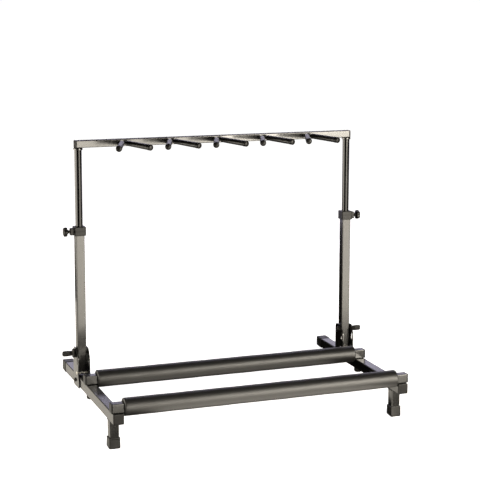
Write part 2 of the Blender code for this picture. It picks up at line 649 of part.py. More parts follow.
for rack_side, rack_sign in SIDES.items():
    side_rail(rack_side, rack_sign)
    front_leg(rack_side, rack_sign)
    hinge_bracket(rack_side, rack_sign)
    lock_knob(rack_side, rack_sign)
    lower_upright(rack_side, rack_sign)
    height_knob(rack_side, rack_sign)
    upper_tube(rack_side, rack_sign)

cross_bar("front", FRONT_BAR_Y, FRONT_BOLT)
cross_bar("rear", REAR_BAR_Y, REAR_BOLT)
top_bar()
for index in range(YOKE_COUNT):
    yoke(index + 1, (index - (YOKE_COUNT - 1) / 2) * YOKE_SPACING)
bpy.context.view_layer.update()
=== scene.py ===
"""Folding guitar rack: the finished surfaces round the working model, laid out as an add-on.

Rack coordinates are in millimetres: x to the right, back along the side rails, up square to
them. The rack leans back on its front legs, so these directions are turned from the world's.
"""
import json
import math
from types import SimpleNamespace

import bmesh
import bpy
import numpy as np
from bpy.props import FloatProperty, FloatVectorProperty, IntProperty, PointerProperty
from bpy.types import Operator, Panel, PropertyGroup
from mathutils import Matrix, Vector


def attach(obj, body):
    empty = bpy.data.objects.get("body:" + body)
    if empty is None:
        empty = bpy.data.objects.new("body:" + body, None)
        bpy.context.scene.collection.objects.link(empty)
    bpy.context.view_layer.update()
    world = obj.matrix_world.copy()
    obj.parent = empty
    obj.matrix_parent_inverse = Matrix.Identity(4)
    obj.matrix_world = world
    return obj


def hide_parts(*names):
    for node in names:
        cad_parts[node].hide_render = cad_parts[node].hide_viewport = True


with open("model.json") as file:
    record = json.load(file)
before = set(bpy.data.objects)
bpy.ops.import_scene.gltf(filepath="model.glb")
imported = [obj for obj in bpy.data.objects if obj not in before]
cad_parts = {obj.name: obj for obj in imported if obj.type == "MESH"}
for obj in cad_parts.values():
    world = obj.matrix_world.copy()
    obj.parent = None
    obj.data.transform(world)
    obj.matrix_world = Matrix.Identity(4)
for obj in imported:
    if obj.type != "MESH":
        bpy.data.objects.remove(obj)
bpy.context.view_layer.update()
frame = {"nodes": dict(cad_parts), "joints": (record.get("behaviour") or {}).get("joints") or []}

bl_info = {
    "name": "Guitar rack surfaces",
    "version": (1, 0, 0),
    "blender": (4, 5, 0),
    "location": "View3D > Sidebar > Rack",
    "description": "Builds the finished surfaces of a folding guitar rack round its working model",
    "category": "Object",
}

SIDES = {"left": -1, "right": 1}
JOINTS = {joint["name"]: joint for joint in frame["joints"]}
MM = 0.001
SHARP = math.radians(50)
QUARTER_TURN = math.pi / 2
FINE_MARGIN = 0.15
POLE = 0.2


# --- Rack coordinates ---------------------------------------------------------------------

RACK_UP = np.array(JOINTS["neck_rest_height"]["axis"], float)
RACK_X = np.array((1.0, 0.0, 0.0))
BASIS = np.array((RACK_X, np.cross(RACK_UP, RACK_X), RACK_UP))


def node_points(node):
    """A CAD node's vertices in rack coordinates."""
    mesh = frame["nodes"][node].data
    points = np.empty(len(mesh.vertices) * 3)
    mesh.vertices.foreach_get("co", points)
    return points.reshape(-1, 3) @ BASIS.T / MM


def span(node):
    """A CAD node's lowest and highest corner in rack coordinates."""
    points = node_points(node)
    return points.min(0), points.max(0)


def run_of(node, axis, sign=1):
    """A node that runs along an axis: its start, half its width and its length.

    The start is the middle of its low end, or of its high end where the sign is negative.
    """
    low, high = span(node)
    start = (low + high) / 2
    start[axis] = low[axis] if sign > 0 else high[axis]
    return start, (high - low)[0 if axis else 2] / 2, (high - low)[axis]


def piece_name(node):
    """A node's name as a piece's name, such as LeftRail."""
    return node.title().replace("_", "")


# --- Surfaces from arrays -----------------------------------------------------------------

def hold_edges(profile, margin=0.4):
    """Adds a point close to both ends of every long stretch of a profile.

    Each added point lies at the margin from its end, on the straight line between the ends, so
    flat stretches keep a flat shading up to their rounded corners.
    """
    profile = np.asarray(profile, float)
    ends = np.roll(profile, -1, axis=0)
    length = np.linalg.norm(ends - profile, axis=1)
    share = np.where(length > 4 * margin, margin / np.maximum(length, 1e-6), 0)
    share[-1] = 0
    near = profile + (ends - profile) * share[:, None]
    far = ends - (ends - profile) * share[:, None]
    points = np.stack((profile, near, far), axis=1).reshape(-1, profile.shape[1])
    keep = np.ones(len(points), bool)
    keep[1::3] = share > 0
    keep[2::3] = share > 0
    return points[keep]


def quarter(radius, count=5):
    """Points on a quarter circle, from drawn in by the radius to that height and not drawn in."""
    turn = np.linspace(0, QUARTER_TURN, count)
    return radius * np.stack((1 - np.sin(turn), 1 - np.cos(turn)), axis=1)


def rounded_outline(half_x, half_y, radius, steps=5, margin=0.4):
    """Points round a rectangle whose four corners are quarter circles, with held flat sides."""
    turn = np.linspace(0, QUARTER_TURN, steps + 1)
    corners = []
    for number, (sign_x, sign_y) in enumerate(((1, 1), (-1, 1), (-1, -1), (1, -1))):
        angle = turn + number * QUARTER_TURN
        corners.append(np.stack((sign_x * (half_x - radius) + radius * np.cos(angle),
                                 sign_y * (half_y - radius) + radius * np.sin(angle)), axis=1))
    loop = np.concatenate(corners)
    return hold_edges(np.concatenate((loop, loop[:1])), margin)[:-1]


def outline_edges(outline):
    """How close each point of an outline is to a corner: 1 on an arc and 0 on a flat side."""
    before = outline - np.roll(outline, 1, axis=0)
    after = np.roll(outline, -1, axis=0) - outline
    cross = before[:, 0] * after[:, 1] - before[:, 1] * after[:, 0]
    sine = cross / (np.linalg.norm(before, axis=1) * np.linalg.norm(after, axis=1) + 1e-6)
    return np.clip(np.abs(sine) * 8, 0, 1)


def lengthwise(direction):
    """Two unit vectors square to a direction, and the direction: a right-handed frame's rows."""
    along = np.asarray(direction, float)
    along = along / np.linalg.norm(along)
    helper = np.array((0, 0, 1.0)) if abs(along[2]) < 0.9 else np.array((0, 1.0, 0))
    first = np.cross(helper, along)
    first /= np.linalg.norm(first)
    return np.array((first, np.cross(along, first), along))


def surface(name, rings, wrap=False, edge_wear_and_highlight=None):
    """A closed surface through rings of points, in rack coordinates.

    The rings are an array of rings by points by 3. Quads join each ring to the next. With wrap
    the last ring joins the first, as on a pipe's wall; otherwise a fan round the end ring's
    middle closes each end. Faces are turned outwards by the sign of the enclosed volume.
    """
    rings = np.asarray(rings, float)
    count, around = rings.shape[:2]
    points = rings.reshape(-1, 3)
    row = np.arange(count if wrap else count - 1)[:, None] * around
    column = np.arange(around)[None, :]
    next_row = (row + around) % (count * around)
    next_column = (column + 1) % around
    quads = np.stack((row + column, row + next_column, next_row + next_column, next_row + column),
                     axis=-1).reshape(-1, 4)
    fans = np.empty((0, 3), int)
    if not wrap:
        first, last = len(points), len(points) + 1
        points = np.concatenate((points, rings[0].mean(0)[None], rings[-1].mean(0)[None]))
        here, there = np.arange(around), (np.arange(around) + 1) % around
        tail = (count - 1) * around
        fans = np.concatenate((np.stack((np.full(around, first), there, here), axis=1),
                               np.stack((np.full(around, last), tail + here, tail + there), axis=1)))
    triangles = np.concatenate((quads[:, :3], quads[:, (0, 2, 3)], fans))
    a, b, c = (points[triangles[:, k]] for k in range(3))
    if np.einsum("ij,ij->i", a, np.cross(b, c)).sum() < 0:
        quads, fans = quads[:, ::-1], fans[:, ::-1]
    mesh = bpy.data.meshes.new(name)
    mesh.from_pydata((points * MM @ BASIS).tolist(), [], quads.tolist() + fans.tolist())
    mesh.update()
    # The edge attribute marks rounded corners. The powder coat paints lighter specks there, partly wear and
    # partly a painted highlight.
    edge = mesh.attributes.new("edge", "FLOAT", "POINT")
    values = np.zeros(len(points))
    if edge_wear_and_highlight is not None:
        values[:count * around] = np.broadcast_to(edge_wear_and_highlight, (count, around)).reshape(-1)
    edge.data.foreach_set("value", values)
    mesh.shade_smooth()
    mesh.set_sharp_from_angle(angle=SHARP)
    return placed(name, mesh)


def placed(name, mesh):
    """A new object for a mesh or a light, in the scene."""
    obj = bpy.data.objects.new(name, mesh)
    bpy.context.scene.collection.objects.link(obj)
    return obj


def carried(name, start, direction, profile, flat, wrap=False, edge_wear_and_highlight=None):
    """A surface whose rings are flat outlines carried to the profile's heights on an axis."""
    rows = lengthwise(direction)
    rings = (np.asarray(start, float) + flat[..., :1] * rows[0] + flat[..., 1:] * rows[1]
             + profile[:, 1][:, None, None] * rows[2])
    return surface(name, rings, wrap, edge_wear_and_highlight)


def drawn_in(name, start, direction, profile, outline):
    """A tube's wall: an outline carried along a direction and drawn in as the profile says.

    Each profile point is a distance that the outline is drawn in by and a height along the
    direction. Drawing in moves each point of the outline along its own inward normal.
    """
    tangent = np.roll(outline, -1, axis=0) - np.roll(outline, 1, axis=0)
    inward = np.stack((-tangent[:, 1], tangent[:, 0]), axis=1)
    inward /= np.linalg.norm(inward, axis=1)[:, None]
    flat = outline[None] + inward[None] * profile[:, 0][:, None, None]
    return carried(name, start, direction, profile, flat, True, outline_edges(outline)[None])


def shrunk(name, start, direction, profile, outline, half):
    """An outline carried along a direction and scaled down towards its middle at each step.

    A profile point's draw-in divided by the outline's half width gives the scale.
    """
    profile = hold_edges(profile)
    flat = outline[None] * (1 - profile[:, 0] / half)[:, None, None]
    return carried(name, start, direction, profile, flat, edge_wear_and_highlight=outline_edges(outline)[None])


def boxed(name, low, high, axis, radius, rim):
    """A rounded block between two corners, built of rounded outlines stacked along one axis.

    The outline is drawn in along a quarter circle of the rim's radius at both ends.
    """
    size = high - low
    centre = (low + high) / 2
    rise = quarter(rim, 4)
    profile = hold_edges(np.concatenate((rise, rise[::-1] * (1, -1) + (0, size[axis]))))
    others = [k for k in range(3) if k != axis]
    half = size[others] / 2
    outline = rounded_outline(*half, radius)
    rings = np.empty((len(profile), len(outline), 3))
    for k, other in enumerate(others):
        rings[..., other] = centre[other] + outline[None, :, k] * (1 - profile[:, :1] / half[k])
    rings[..., axis] = low[axis] + profile[:, 1:]
    return surface(name, rings, edge_wear_and_highlight=outline_edges(outline)[None])


def turned(name, start, direction, profile, count=48, wrap=False, lobes=None):
    """A profile of radius and height turned round an axis.

    With lobes, given as a number, a depth and a weight per profile point, each ring's radius is
    scaled by 1 minus depth times weight times a half wave that repeats that number of times.
    """
    profile = np.asarray(profile, float)
    angle = np.linspace(0, 2 * math.pi, count, endpoint=False)
    radius = np.repeat(profile[:, :1], count, axis=1)
    if lobes is not None:
        number, depth, weights = lobes
        wave = (0.5 - 0.5 * np.cos(number * angle)) ** 1.5
        radius = radius * (1 - depth * np.asarray(weights, float)[:, None] * wave[None])
    flat = np.stack((radius * np.cos(angle), radius * np.sin(angle)), axis=-1)
    return carried(name, start, direction, profile, flat, wrap)


def swept(name, path, radius, count=24):
    """A round rod along a level path: circles square to the path's tangent.

    The radius is a number, or one number per path point.
    """
    tangent = np.gradient(path, axis=0)
    tangent /= np.linalg.norm(tangent, axis=1)[:, None]
    side = np.cross(tangent, (0, 0, 1.0))
    side /= np.linalg.norm(side, axis=1)[:, None]
    rise = np.cross(side, tangent)
    angle = np.linspace(0, 2 * math.pi, count, endpoint=False)[None, :, None]
    radius = np.broadcast_to(radius, (len(path),))[:, None, None]
    rings = path[:, None] + radius * (np.cos(angle) * side[:, None] + np.sin(angle) * rise[:, None])
    return surface(name, rings)


# --- Materials ----------------------------------------------------------------------------

def linear(code):
    """A linear colour from an sRGB hex code."""
    channels = [int(code.lstrip("#")[k:k + 2], 16) / 255 for k in (0, 2, 4)]
    return tuple(c / 12.92 if c <= 0.04045 else ((c + 0.055) / 1.055) ** 2.4 for c in channels) + (1.0,)


def add(tree, kind, links=None, output=0, **settings):
    """Adds a shader node with its settings and links and returns one of its outputs.

    Links map an input's name or number to another node's output or to a plain value.
    """
    node = tree.nodes.new("ShaderNode" + kind)
    for key, value in settings.items():
        setattr(node, key, value)
    for key, value in (links or {}).items():
        if isinstance(value, bpy.types.NodeSocket):
            tree.links.new(value, node.inputs[key])
        else:
            node.inputs[key].default_value = value
    return node.outputs[output]


def tones(looks, kind):
    """A finish's darker and lighter colour."""
    return getattr(looks, f"{kind}_dark"), getattr(looks, f"{kind}_light")


def per(size):
    """A texture's scale for a pattern whose size is in millimetres."""
    return 1 / (size * MM)


def clouded(name, constants, tones, cloud, rough, relief):
    """A Principled material whose tone and roughness drift, under a fine relief.

    Tones are its darker and lighter colour, cloud is the drift's size, rough is the lowest and
    highest roughness, and relief is a texture node's kind, the size of one grain, the strength
    and the depth. All sizes are in millimetres.
    """
    material = bpy.data.materials.new(name)
    material.use_nodes = True
    tree = material.node_tree
    shader = tree.nodes["Principled BSDF"]
    for socket, value in constants.items():
        shader.inputs[socket].default_value = value
    place = add(tree, "TexCoord", output="Object")
    drift = add(tree, "TexNoise", {"Vector": place, "Scale": per(cloud), "Detail": 4.0,
                                    "Roughness": 0.6})
    share = add(tree, "MapRange", {"Value": drift, "From Min": 0.35, "From Max": 0.65})
    colour = add(tree, "Mix", {0: share, 6: tuple(tones[0]), 7: tuple(tones[1])}, 2, data_type="RGBA")
    tree.links.new(colour, shader.inputs["Base Color"])
    dull = add(tree, "MapRange", {"Value": drift, "From Min": 0.3, "From Max": 0.7,
                                            "To Min": rough[0], "To Max": rough[1]})
    tree.links.new(dull, shader.inputs["Roughness"])
    kind, grain, strength, depth = relief
    height = add(tree, kind, {"Vector": place, "Scale": per(grain)})
    bump = add(tree, "Bump", {"Strength": strength, "Distance": depth * MM, "Height": height})
    tree.links.new(bump, shader.inputs["Normal"])
    return material, tree, shader, place, colour


def powder_coat(looks):
    """Semi-gloss black polyester powder coat, sprayed dry and baked.

    It gives a deep black body under a soft mirror broken by orange peel. The real peel's waves
    are 0.6 mm across, drawn 1.5 mm so that they show. The film is thin on edges and corners,
    which look greyer and duller, with a few lighter specks 1 mm across: partly rubbed film and
    partly a painted highlight where the rounded edges catch the light.
    """
    constants = {"IOR": 1.5, "Specular IOR Level": 0.75, "Coat Weight": looks.coat_gloss,
                 "Coat Roughness": 0.14, "Coat IOR": 1.6}
    material, tree, shader, place, colour = clouded(
        "semi_gloss_black_powder_coat", constants, tones(looks, "coat"), 45,
        (looks.coat_roughness - 0.05, looks.coat_roughness + 0.05),
        ("TexNoise", 1.5, 0.06, 0.05))
    # Lighter grey specks on the edges and corners: partly rubbed film, partly a painted highlight where the
    # rounded edges catch the light.
    edge = add(tree, "Attribute", output="Fac", attribute_name="edge")
    specks = add(tree, "TexNoise", {"Vector": place, "Scale": per(1.0), "Detail": 3.0})
    rubbed = add(tree, "MapRange", {"Value": specks, "From Min": 0.48, "From Max": 0.68, "To Max": 0.25})
    worn_and_highlit = add(tree, "Math", {0: edge, 1: rubbed}, operation="MULTIPLY")
    shown = add(tree, "Mix", {0: worn_and_highlit, 6: colour, 7: linear("#6b6964")}, 2, data_type="RGBA")
    tree.links.new(shown, shader.inputs["Base Color"])
    return material


def gloss_enamel(looks):
    """Black stoving enamel on drawn round tube: a hard wet-looking black with a clear mirror.

    The tube's draw lines, 0.2 mm apart and drawn 0.7 mm, still print through along its length.
    """
    constants = {"IOR": 1.5, "Specular IOR Level": 0.45, "Coat Weight": 0.1, "Coat Roughness": 0.05,
                 "Coat IOR": 1.5}
    material, tree, shader, place, _colour = clouded(
        "gloss_black_stoved_enamel", constants, tones(looks, "enamel"), 30, (0.07, 0.12),
        ("TexNoise", 9, 0.04, 0.05))
    drawn = add(tree, "Mapping", {"Vector": place, "Scale": (1, 1, 0.02)})
    lines = add(tree, "TexNoise", {"Vector": drawn, "Scale": per(0.7), "Detail": 2.0})
    dull = add(tree, "MapRange", {"Value": lines, "From Min": 0.3, "From Max": 0.7,
                                            "To Min": 0.07, "To Max": 0.14})
    tree.links.new(dull, shader.inputs["Roughness"])
    return material


def moulded_plastic(looks):
    """Black nylon, injection moulded in a spark-eroded tool.

    It gives an even leathery grain, 0.3 mm in the real one and drawn 0.7 mm, with a low sheen
    that turns greyer where hands and boxes have rubbed it.
    """
    return clouded("black_moulded_nylon", {"IOR": 1.53, "Specular IOR Level": 0.32},
                   tones(looks, "plastic"), 9, (0.3, 0.44),
                   ("TexVoronoi", 0.7, 0.15, 0.06))[0]


def closed_cell_foam(looks):
    """Black nitrile foam tube, extruded and cooled with a thin skin of burst cells.

    It gives a soft wide sheen with no sharp reflection. The cells are 0.25 mm across in the
    real foam and drawn 0.9 mm.
    """
    constants = {"IOR": 1.45, "Specular IOR Level": looks.foam_gloss, "Sheen Weight": 0.03,
                 "Sheen Roughness": 0.6}
    material, tree, shader, place, _colour = clouded(
        "black_nitrile_foam", constants, tones(looks, "foam"), 26, (0.4, 0.5),
        ("TexNoise", 0.5, 0.4, 0.1))
    cells = add(tree, "TexVoronoi", {"Vector": place, "Scale": per(0.9)})
    dull = add(tree, "MapRange", {"Value": cells, "From Max": 0.6, "To Min": looks.foam_roughness - 0.06,
                                            "To Max": looks.foam_roughness + 0.08})
    tree.links.new(dull, shader.inputs["Roughness"])
    fine = add(tree, "TexNoise", {"Vector": place, "Scale": per(0.4), "Detail": 3.0})
    height = add(tree, "Math", {0: cells, 1: fine}, operation="ADD")
    skin = add(tree, "Bump", {"Strength": 0.5, "Distance": 0.14 * MM, "Height": height})
    tree.links.new(skin, shader.inputs["Normal"])
    return material


def soft_rubber(looks):
    """Black thermoplastic rubber, moulded: satin, with a faint bloom and a fine matt texture."""
    return clouded("black_soft_rubber", {"IOR": 1.52, "Specular IOR Level": 0.6},
                   tones(looks, "rubber"), 12, (0.32, 0.46),
                   ("TexNoise", 0.6, 0.15, 0.05))[0]


def zinc_plate(looks):
    """Bright zinc plate on a turned sleeve: pale metal with fine turning marks round the pin."""
    material, tree, shader, place, _colour = clouded(
        "bright_zinc_plate", {"Metallic": 1.0}, tones(looks, "zinc"), 3, (0.22, 0.34),
        ("TexNoise", 0.5, 0.1, 0.02))
    turned_way = add(tree, "Mapping", {"Vector": place, "Scale": (1, 0.02, 0.02)})
    marks = add(tree, "TexNoise", {"Vector": turned_way, "Scale": per(0.4), "Detail": 2.0})
    groove = add(tree, "Bump", {"Strength": 0.2, "Distance": 0.03 * MM, "Height": marks})
    tree.links.new(groove, shader.inputs["Normal"])
    return material


def black_oxide(looks):
    """Black oxide on steel bolts: a dark metal with an oily, uneven lustre."""
    return clouded("black_oxide_steel", {"Metallic": 1.0}, tones(looks, "oxide"), 4,
                   (0.3, 0.45), ("TexNoise", 0.5, 0.2, 0.03))[0]


def weld_metal(looks):
    """Coated weld seam: the black film over the rippled bead of a short arc weld."""
    return clouded("coated_weld_seam", {"IOR": 1.5, "Specular IOR Level": 0.7}, tones(looks, "coat"), 2,
                   (0.3, 0.42), ("TexNoise", 1.2, 0.6, 0.25))[0]


FINISHES = {
    "coat": (powder_coat, "black_powder_coated_steel"),
    "enamel": (gloss_enamel, "black_enamelled_tube"),
    "plastic": (moulded_plastic, "black_moulded_plastic"),
    "foam": (closed_cell_foam, "black_foam"),
    "rubber": (soft_rubber, "black_rubber"),
    "zinc": (zinc_plate, "zinc_plated_steel"),
    "oxide": (black_oxide, "black_oxide_steel"),
    "weld": (weld_metal, "black_powder_coated_steel"),
}
_made = {}


def fit(obj, body, kind, *replaced):
    """Gives a piece its finish, its body and the CAD nodes that it stands for."""
    maker, slot = FINISHES[kind]
    if kind not in _made:
        _made[kind] = maker(bpy.context.scene.rack_looks)
    obj.data.materials.append(_made[kind])
    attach(obj, body)
    if replaced:
        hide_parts(*replaced)
    return obj


# --- Tubes --------------------------------------------------------------------------------

def square_tube(node, axis, body, wall, corner_share=0.09):
    """A square steel tube where its CAD node lies: a rounded outline run out and back inside."""
    start, half, length = run_of(node, axis)
    nip = wall * 0.2
    outside = [(nip, 0), (0, nip), (0, length - nip), (nip, length)]
    inside = [(wall - nip, length), (wall, length - nip), (wall, nip), (wall - nip, 0)]
    profile = hold_edges(outside + inside + outside[:1])[:-1]
    outline = rounded_outline(half, half, 2 * half * corner_share)
    obj = drawn_in(piece_name(node) + "Tube", start, np.eye(3)[axis], profile, outline)
    return fit(obj, body, "coat", node)


def make_side_rails(sizes):
    """Both side rails and both front legs, with the weld seam round each leg's top."""
    bead_out, bead_corner, bead_drop = 0.4, 2.6, 0.3
    for side in SIDES:
        square_tube(f"{side}_rail", 1, "base", sizes.wall)
        square_tube(f"{side}_front_leg", 2, "base", sizes.wall)
        centre, half, _length = run_of(f"{side}_front_leg", 2, -1)
        centre[2] -= bead_drop
        half += bead_out
        loop = rounded_outline(half, half, bead_corner, 6, 2)
        fit(weld_ring(f"{side.title()}LegWeld", loop, centre, sizes.weld_radius * 0.8), "base", "weld")


def weld_ring(name, loop, centre, radius):
    """A rippled seam round a closed loop: a small circle carried round it.

    The circle's radius swells and shrinks along the loop by a tenth, as overlapped weld pools do.
    """
    count = 160
    closed = np.concatenate((loop, loop[:1]))
    steps = np.concatenate(([0], np.cumsum(np.linalg.norm(np.diff(closed, axis=0), axis=1))))
    at = np.linspace(0, steps[-1], count, endpoint=False)
    flat = np.stack([np.interp(at, steps, closed[:, k]) for k in range(2)], axis=1)
    tangent = np.roll(flat, -1, axis=0) - np.roll(flat, 1, axis=0)
    out = np.stack((tangent[:, 1], -tangent[:, 0]), axis=1)
    out /= np.linalg.norm(out, axis=1)[:, None]
    swell = radius * (1 + 0.1 * np.sin(at / 1.3))
    angle = np.linspace(0, 2 * math.pi, 10, endpoint=False)
    reach = swell[:, None] * np.cos(angle)[None]
    rings = np.empty((count, len(angle), 3))
    rings[..., :2] = flat[:, None] + reach[..., None] * out[:, None] + centre[:2]
    rings[..., 2] = centre[2] + swell[:, None] * np.sin(angle)[None]
    return surface(name, rings, wrap=True)


def make_cross_bars(sizes):
    """The two square bars that lie on the rails, and their end plugs with a moulded groove."""
    for place in ("front", "rear"):
        square_tube(f"{place}_bar", 0, "base", sizes.wall)
        for side in SIDES:
            end_plug(f"{place}_bar", side, "base", sizes.wall)


def end_plug(tube, side, body, wall):
    """A plug in a tube's end: a pillowed head outside the tube and a core inside it."""
    node = f"{tube}_{side}_plug"
    sign = SIDES[side]
    low, high = span(node)
    inner, outer = (low[0], high[0]) if sign > 0 else (high[0], low[0])
    start = (low + high) / 2
    start[0] = span(tube)[(sign + 1) // 2][0]
    half = (high - low)[1] / 2
    head, depth = abs(outer - start[0]), -abs(start[0] - inner)
    pillow = head * 0.5
    core = wall + 0.6
    crown = [(half * 0.92, head), (half * 0.5, head), (pillow * 1.6, head - 0.05)]
    skirt = [(0.1, 0.35), (0.5, 0.3), (core, 0.3), (core, depth), (half * 0.9, depth)]
    profile = np.concatenate((crown, quarter(pillow) * (1, -1) + (0, head), skirt))
    outline = rounded_outline(half, half, half * 0.2)
    obj = shrunk(piece_name(node), start, (sign, 0, 0), profile, outline, half)
    return fit(obj, body, "plastic", node)


def make_foam_sleeves(sizes):
    """The two foam tubes: a round skin whose cut ends are softly rounded, over a snug bore.

    Along the sleeve the radius swells by a slow wave of a few tenths of a millimetre, as
    extruded foam does.
    """
    soft = sizes.foam_rounding
    bore_depth = 4
    for place in ("front", "rear"):
        start, radius, length = run_of(f"{place}_foam", 0)
        along = np.linspace(soft, length - soft, 60)
        wave = 0.12 * (np.sin(along * 0.037) + np.sin(along * 0.083 + 1.0))
        outside = np.stack((radius - 0.25 + wave, along), axis=1)
        end = (radius, soft) - quarter(soft, 6)[1:, ::-1]
        bore = run_of(f"{place}_bar", 0)[1] + 0.3
        inner = [(bore * 1.18, length - 0.3), (bore * 1.16, length - bore_depth),
                 (bore * 1.16, bore_depth), (bore * 1.18, 0.3)]
        profile = np.concatenate((end[::-1] * (1, -1) + (0, soft), outside, end + (0, length - soft), inner))
        obj = turned(f"{place.title()}FoamSleeve", start, (1, 0, 0), profile, 96, wrap=True)
        fit(obj, "base", "foam", f"{place}_foam")


# --- Caps and feet ------------------------------------------------------------------------

def make_rail_ends(sizes):
    """The rails' front caps and rear feet, and the rubber feet on the legs."""
    for side in SIDES:
        front_cap(side, sizes.wall)
        rear_foot(side)
        leg_foot(side)


def front_cap(side, wall):
    """A rail's front cap: a flat head with soft edges and a core inside the tube."""
    node = f"{side}_rail_front_cap"
    low, high = span(node)
    start = (low + high) / 2
    start[1] = span(f"{side}_rail")[0][1]
    half = (high - low)[0] / 2
    head, depth = start[1] - low[1], start[1] - high[1]
    rim, core = 1.5, wall + 0.4
    profile = np.concatenate(([(half * 0.9, head), (rim * 2, head)], quarter(rim) * (1, -1) + (0, head),
                              [(0, 0.4), (0.4, 0.3), (core, 0.3), (core, depth), (half * 0.9, depth)]))
    outline = rounded_outline(half, half, 2.4)
    obj = shrunk(f"{side.title()}FrontCap", start, (0, -1, 0), profile, outline, half)
    return fit(obj, "base", "plastic", node)


def rear_foot(side):
    """A rail's rear foot: a rounded block whose underside is cut level with the floor."""
    node = f"{side}_rail_rear_foot"
    low, high = span(node)
    low[1] = span(f"{side}_rail")[1][1] + 0.3
    obj = boxed(f"{side.title()}RearFoot", low, high, 1, 2.2, 1.6)
    level_sole(obj)
    return fit(obj, "base", "plastic", node)


def leg_foot(side):
    """A leg's rubber foot: a cup with a rolled lip and a level sole."""
    node = f"{side}_foot_pad"
    start, half, height = run_of(node, 2)
    pocket = half - run_of(f"{side}_front_leg", 2)[1] - 0.25
    rim = 2.4
    wall_and_lip = [(0.15, height * 0.3), (0.35, height - 3.2), (0.35, height - 2.6), (0.0, height - 2.2),
                    (0.0, height - 0.9), (0.5, height - 0.1), (1.2, height), (pocket - 0.3, height - 0.2),
                    (pocket, height - 1.0), (pocket, height - 8), (half * 0.9, height - 8.2)]
    profile = np.concatenate(([(half * 0.9, 0), (rim + 2, 0)], quarter(rim), wall_and_lip))
    obj = shrunk(f"{side.title()}LegFoot", start, (0, 0, 1), profile, rounded_outline(half, half, 3.0), half)
    level_sole(obj)
    return fit(obj, "base", "rubber", node)


def level_sole(obj):
    """Lifts every point that would lie below the floor onto it, which cuts the sole level."""
    mesh = obj.data
    points = np.empty(len(mesh.vertices) * 3)
    mesh.vertices.foreach_get("co", points)
    points[2::3] = np.maximum(points[2::3], 0.0)
    mesh.vertices.foreach_set("co", points)
    mesh.update()


# --- Hinge brackets -----------------------------------------------------------------------

def make_brackets(_sizes):
    """Bracket plates with rounded edges, the stop pins and the bolts that join it all."""
    for side, sign in SIDES.items():
        for label in ("inner", "outer"):
            bracket_plate(side, label)
        stop_pin(side)
        bracket_bolt(side, sign)
        pivot_bolt(side, sign)


def bracket_plate(side, label):
    """A CAD plate with its own holes, given a fine rounded edge by Bevel on a merged copy."""
    node = f"{side}_bracket_{label}_plate"
    mesh = frame["nodes"][node].data.copy()
    mesh.materials.clear()
    obj = placed(f"{side.title()}{label.title()}Plate", mesh)
    merge_flat(mesh)
    rounding = obj.modifiers.new("edge", "BEVEL")
    rounding.width = 0.45 * MM
    rounding.segments = 2
    rounding.limit_method = "ANGLE"
    rounding.angle_limit = SHARP
    rounding.harden_normals = False
    return fit(obj, "base", "coat", node)


def merge_flat(mesh):
    """Welds a copied CAD mesh and joins its coplanar triangles."""
    bm = bmesh.new()
    bm.from_mesh(mesh)
    bmesh.ops.remove_doubles(bm, verts=bm.verts, dist=0.001 * MM)
    bmesh.ops.dissolve_limit(bm, angle_limit=math.radians(1), verts=bm.verts, edges=bm.edges)
    bm.to_mesh(mesh)
    bm.free()
    mesh.shade_smooth()
    mesh.set_sharp_from_angle(angle=SHARP)


def stop_pin(side):
    """The riveted stop pin: a bright sleeve between the plates and a domed head on each."""
    node = f"{side}_stop_pin"
    start, head_radius, length = run_of(node, 0)
    start[0] += length / 2
    sleeve_end = run_of(f"{side}_rail", 1)[1] - 0.1
    head_height = 1.5
    plate_out = length / 2 - head_height
    turn = np.linspace(0, QUARTER_TURN, 5)
    dome = np.stack((np.maximum(head_radius * np.sin(turn), 0.05), plate_out + head_height * np.cos(turn)),
                    axis=1)
    inner = [(3.0, plate_out - 0.05), (3.0, sleeve_end + 0.1), (3.8, sleeve_end), (4.0, sleeve_end - 0.3)]
    half = np.concatenate((dome, inner))
    profile = hold_edges(np.concatenate((half, half[::-1] * (1, -1))), FINE_MARGIN)
    return fit(turned(f"{side.title()}StopPin", start, (1, 0, 0), profile, 32), "base", "zinc", node)


def bracket_bolt(side, sign):
    """The bolt through both plates and the rail: a domed socket head and a lock nut."""
    node = f"{side}_bracket_bolt"
    start, _radius, length = run_of(node, 0, sign)
    shank, rim = 3.0, 5.2
    nut_top = np.abs(np.array(span(f"{side}_bracket_inner_plate"))[:, 0]).min() - abs(start[0])
    head_low = np.abs(np.array(span(f"{side}_bracket_outer_plate"))[:, 0]).max() - abs(start[0])
    nut = [(POLE, 0), (shank * 0.85, 0), (shank, 0.5), (shank, 1.6), (4.6, 1.7), (rim, 2.4),
           (rim, nut_top - 0.4), (5.0, nut_top), (shank, nut_top)]
    head = [(shank, head_low), (5.0, head_low), (rim, head_low + 0.4), (4.8, head_low + 1.6),
            (3.6, head_low + 2.9), (2.3, length), (2.0, length), (1.9, length - 1.6), (POLE, length - 1.8)]
    obj = turned(f"{side.title()}BracketBolt", start, (sign, 0, 0), hold_edges(nut + head, FINE_MARGIN), 36)
    return fit(obj, "base", "oxide", node)


def domed(radius, height, count):
    """Points from a pole at height 0 out to a radius at a height, along a quarter of an ellipse."""
    turn = np.linspace(0, QUARTER_TURN, count)
    return np.stack((np.maximum(radius * np.sin(turn), POLE), height * (1 - np.cos(turn))), axis=1)


def ridged(radius, depth, pitch, heights):
    """A thread's outline: a radius with a cosine ridge of a depth that repeats at the pitch."""
    turn = 2 * math.pi * heights / pitch
    return np.stack((radius + depth * np.cos(turn), heights), axis=1)


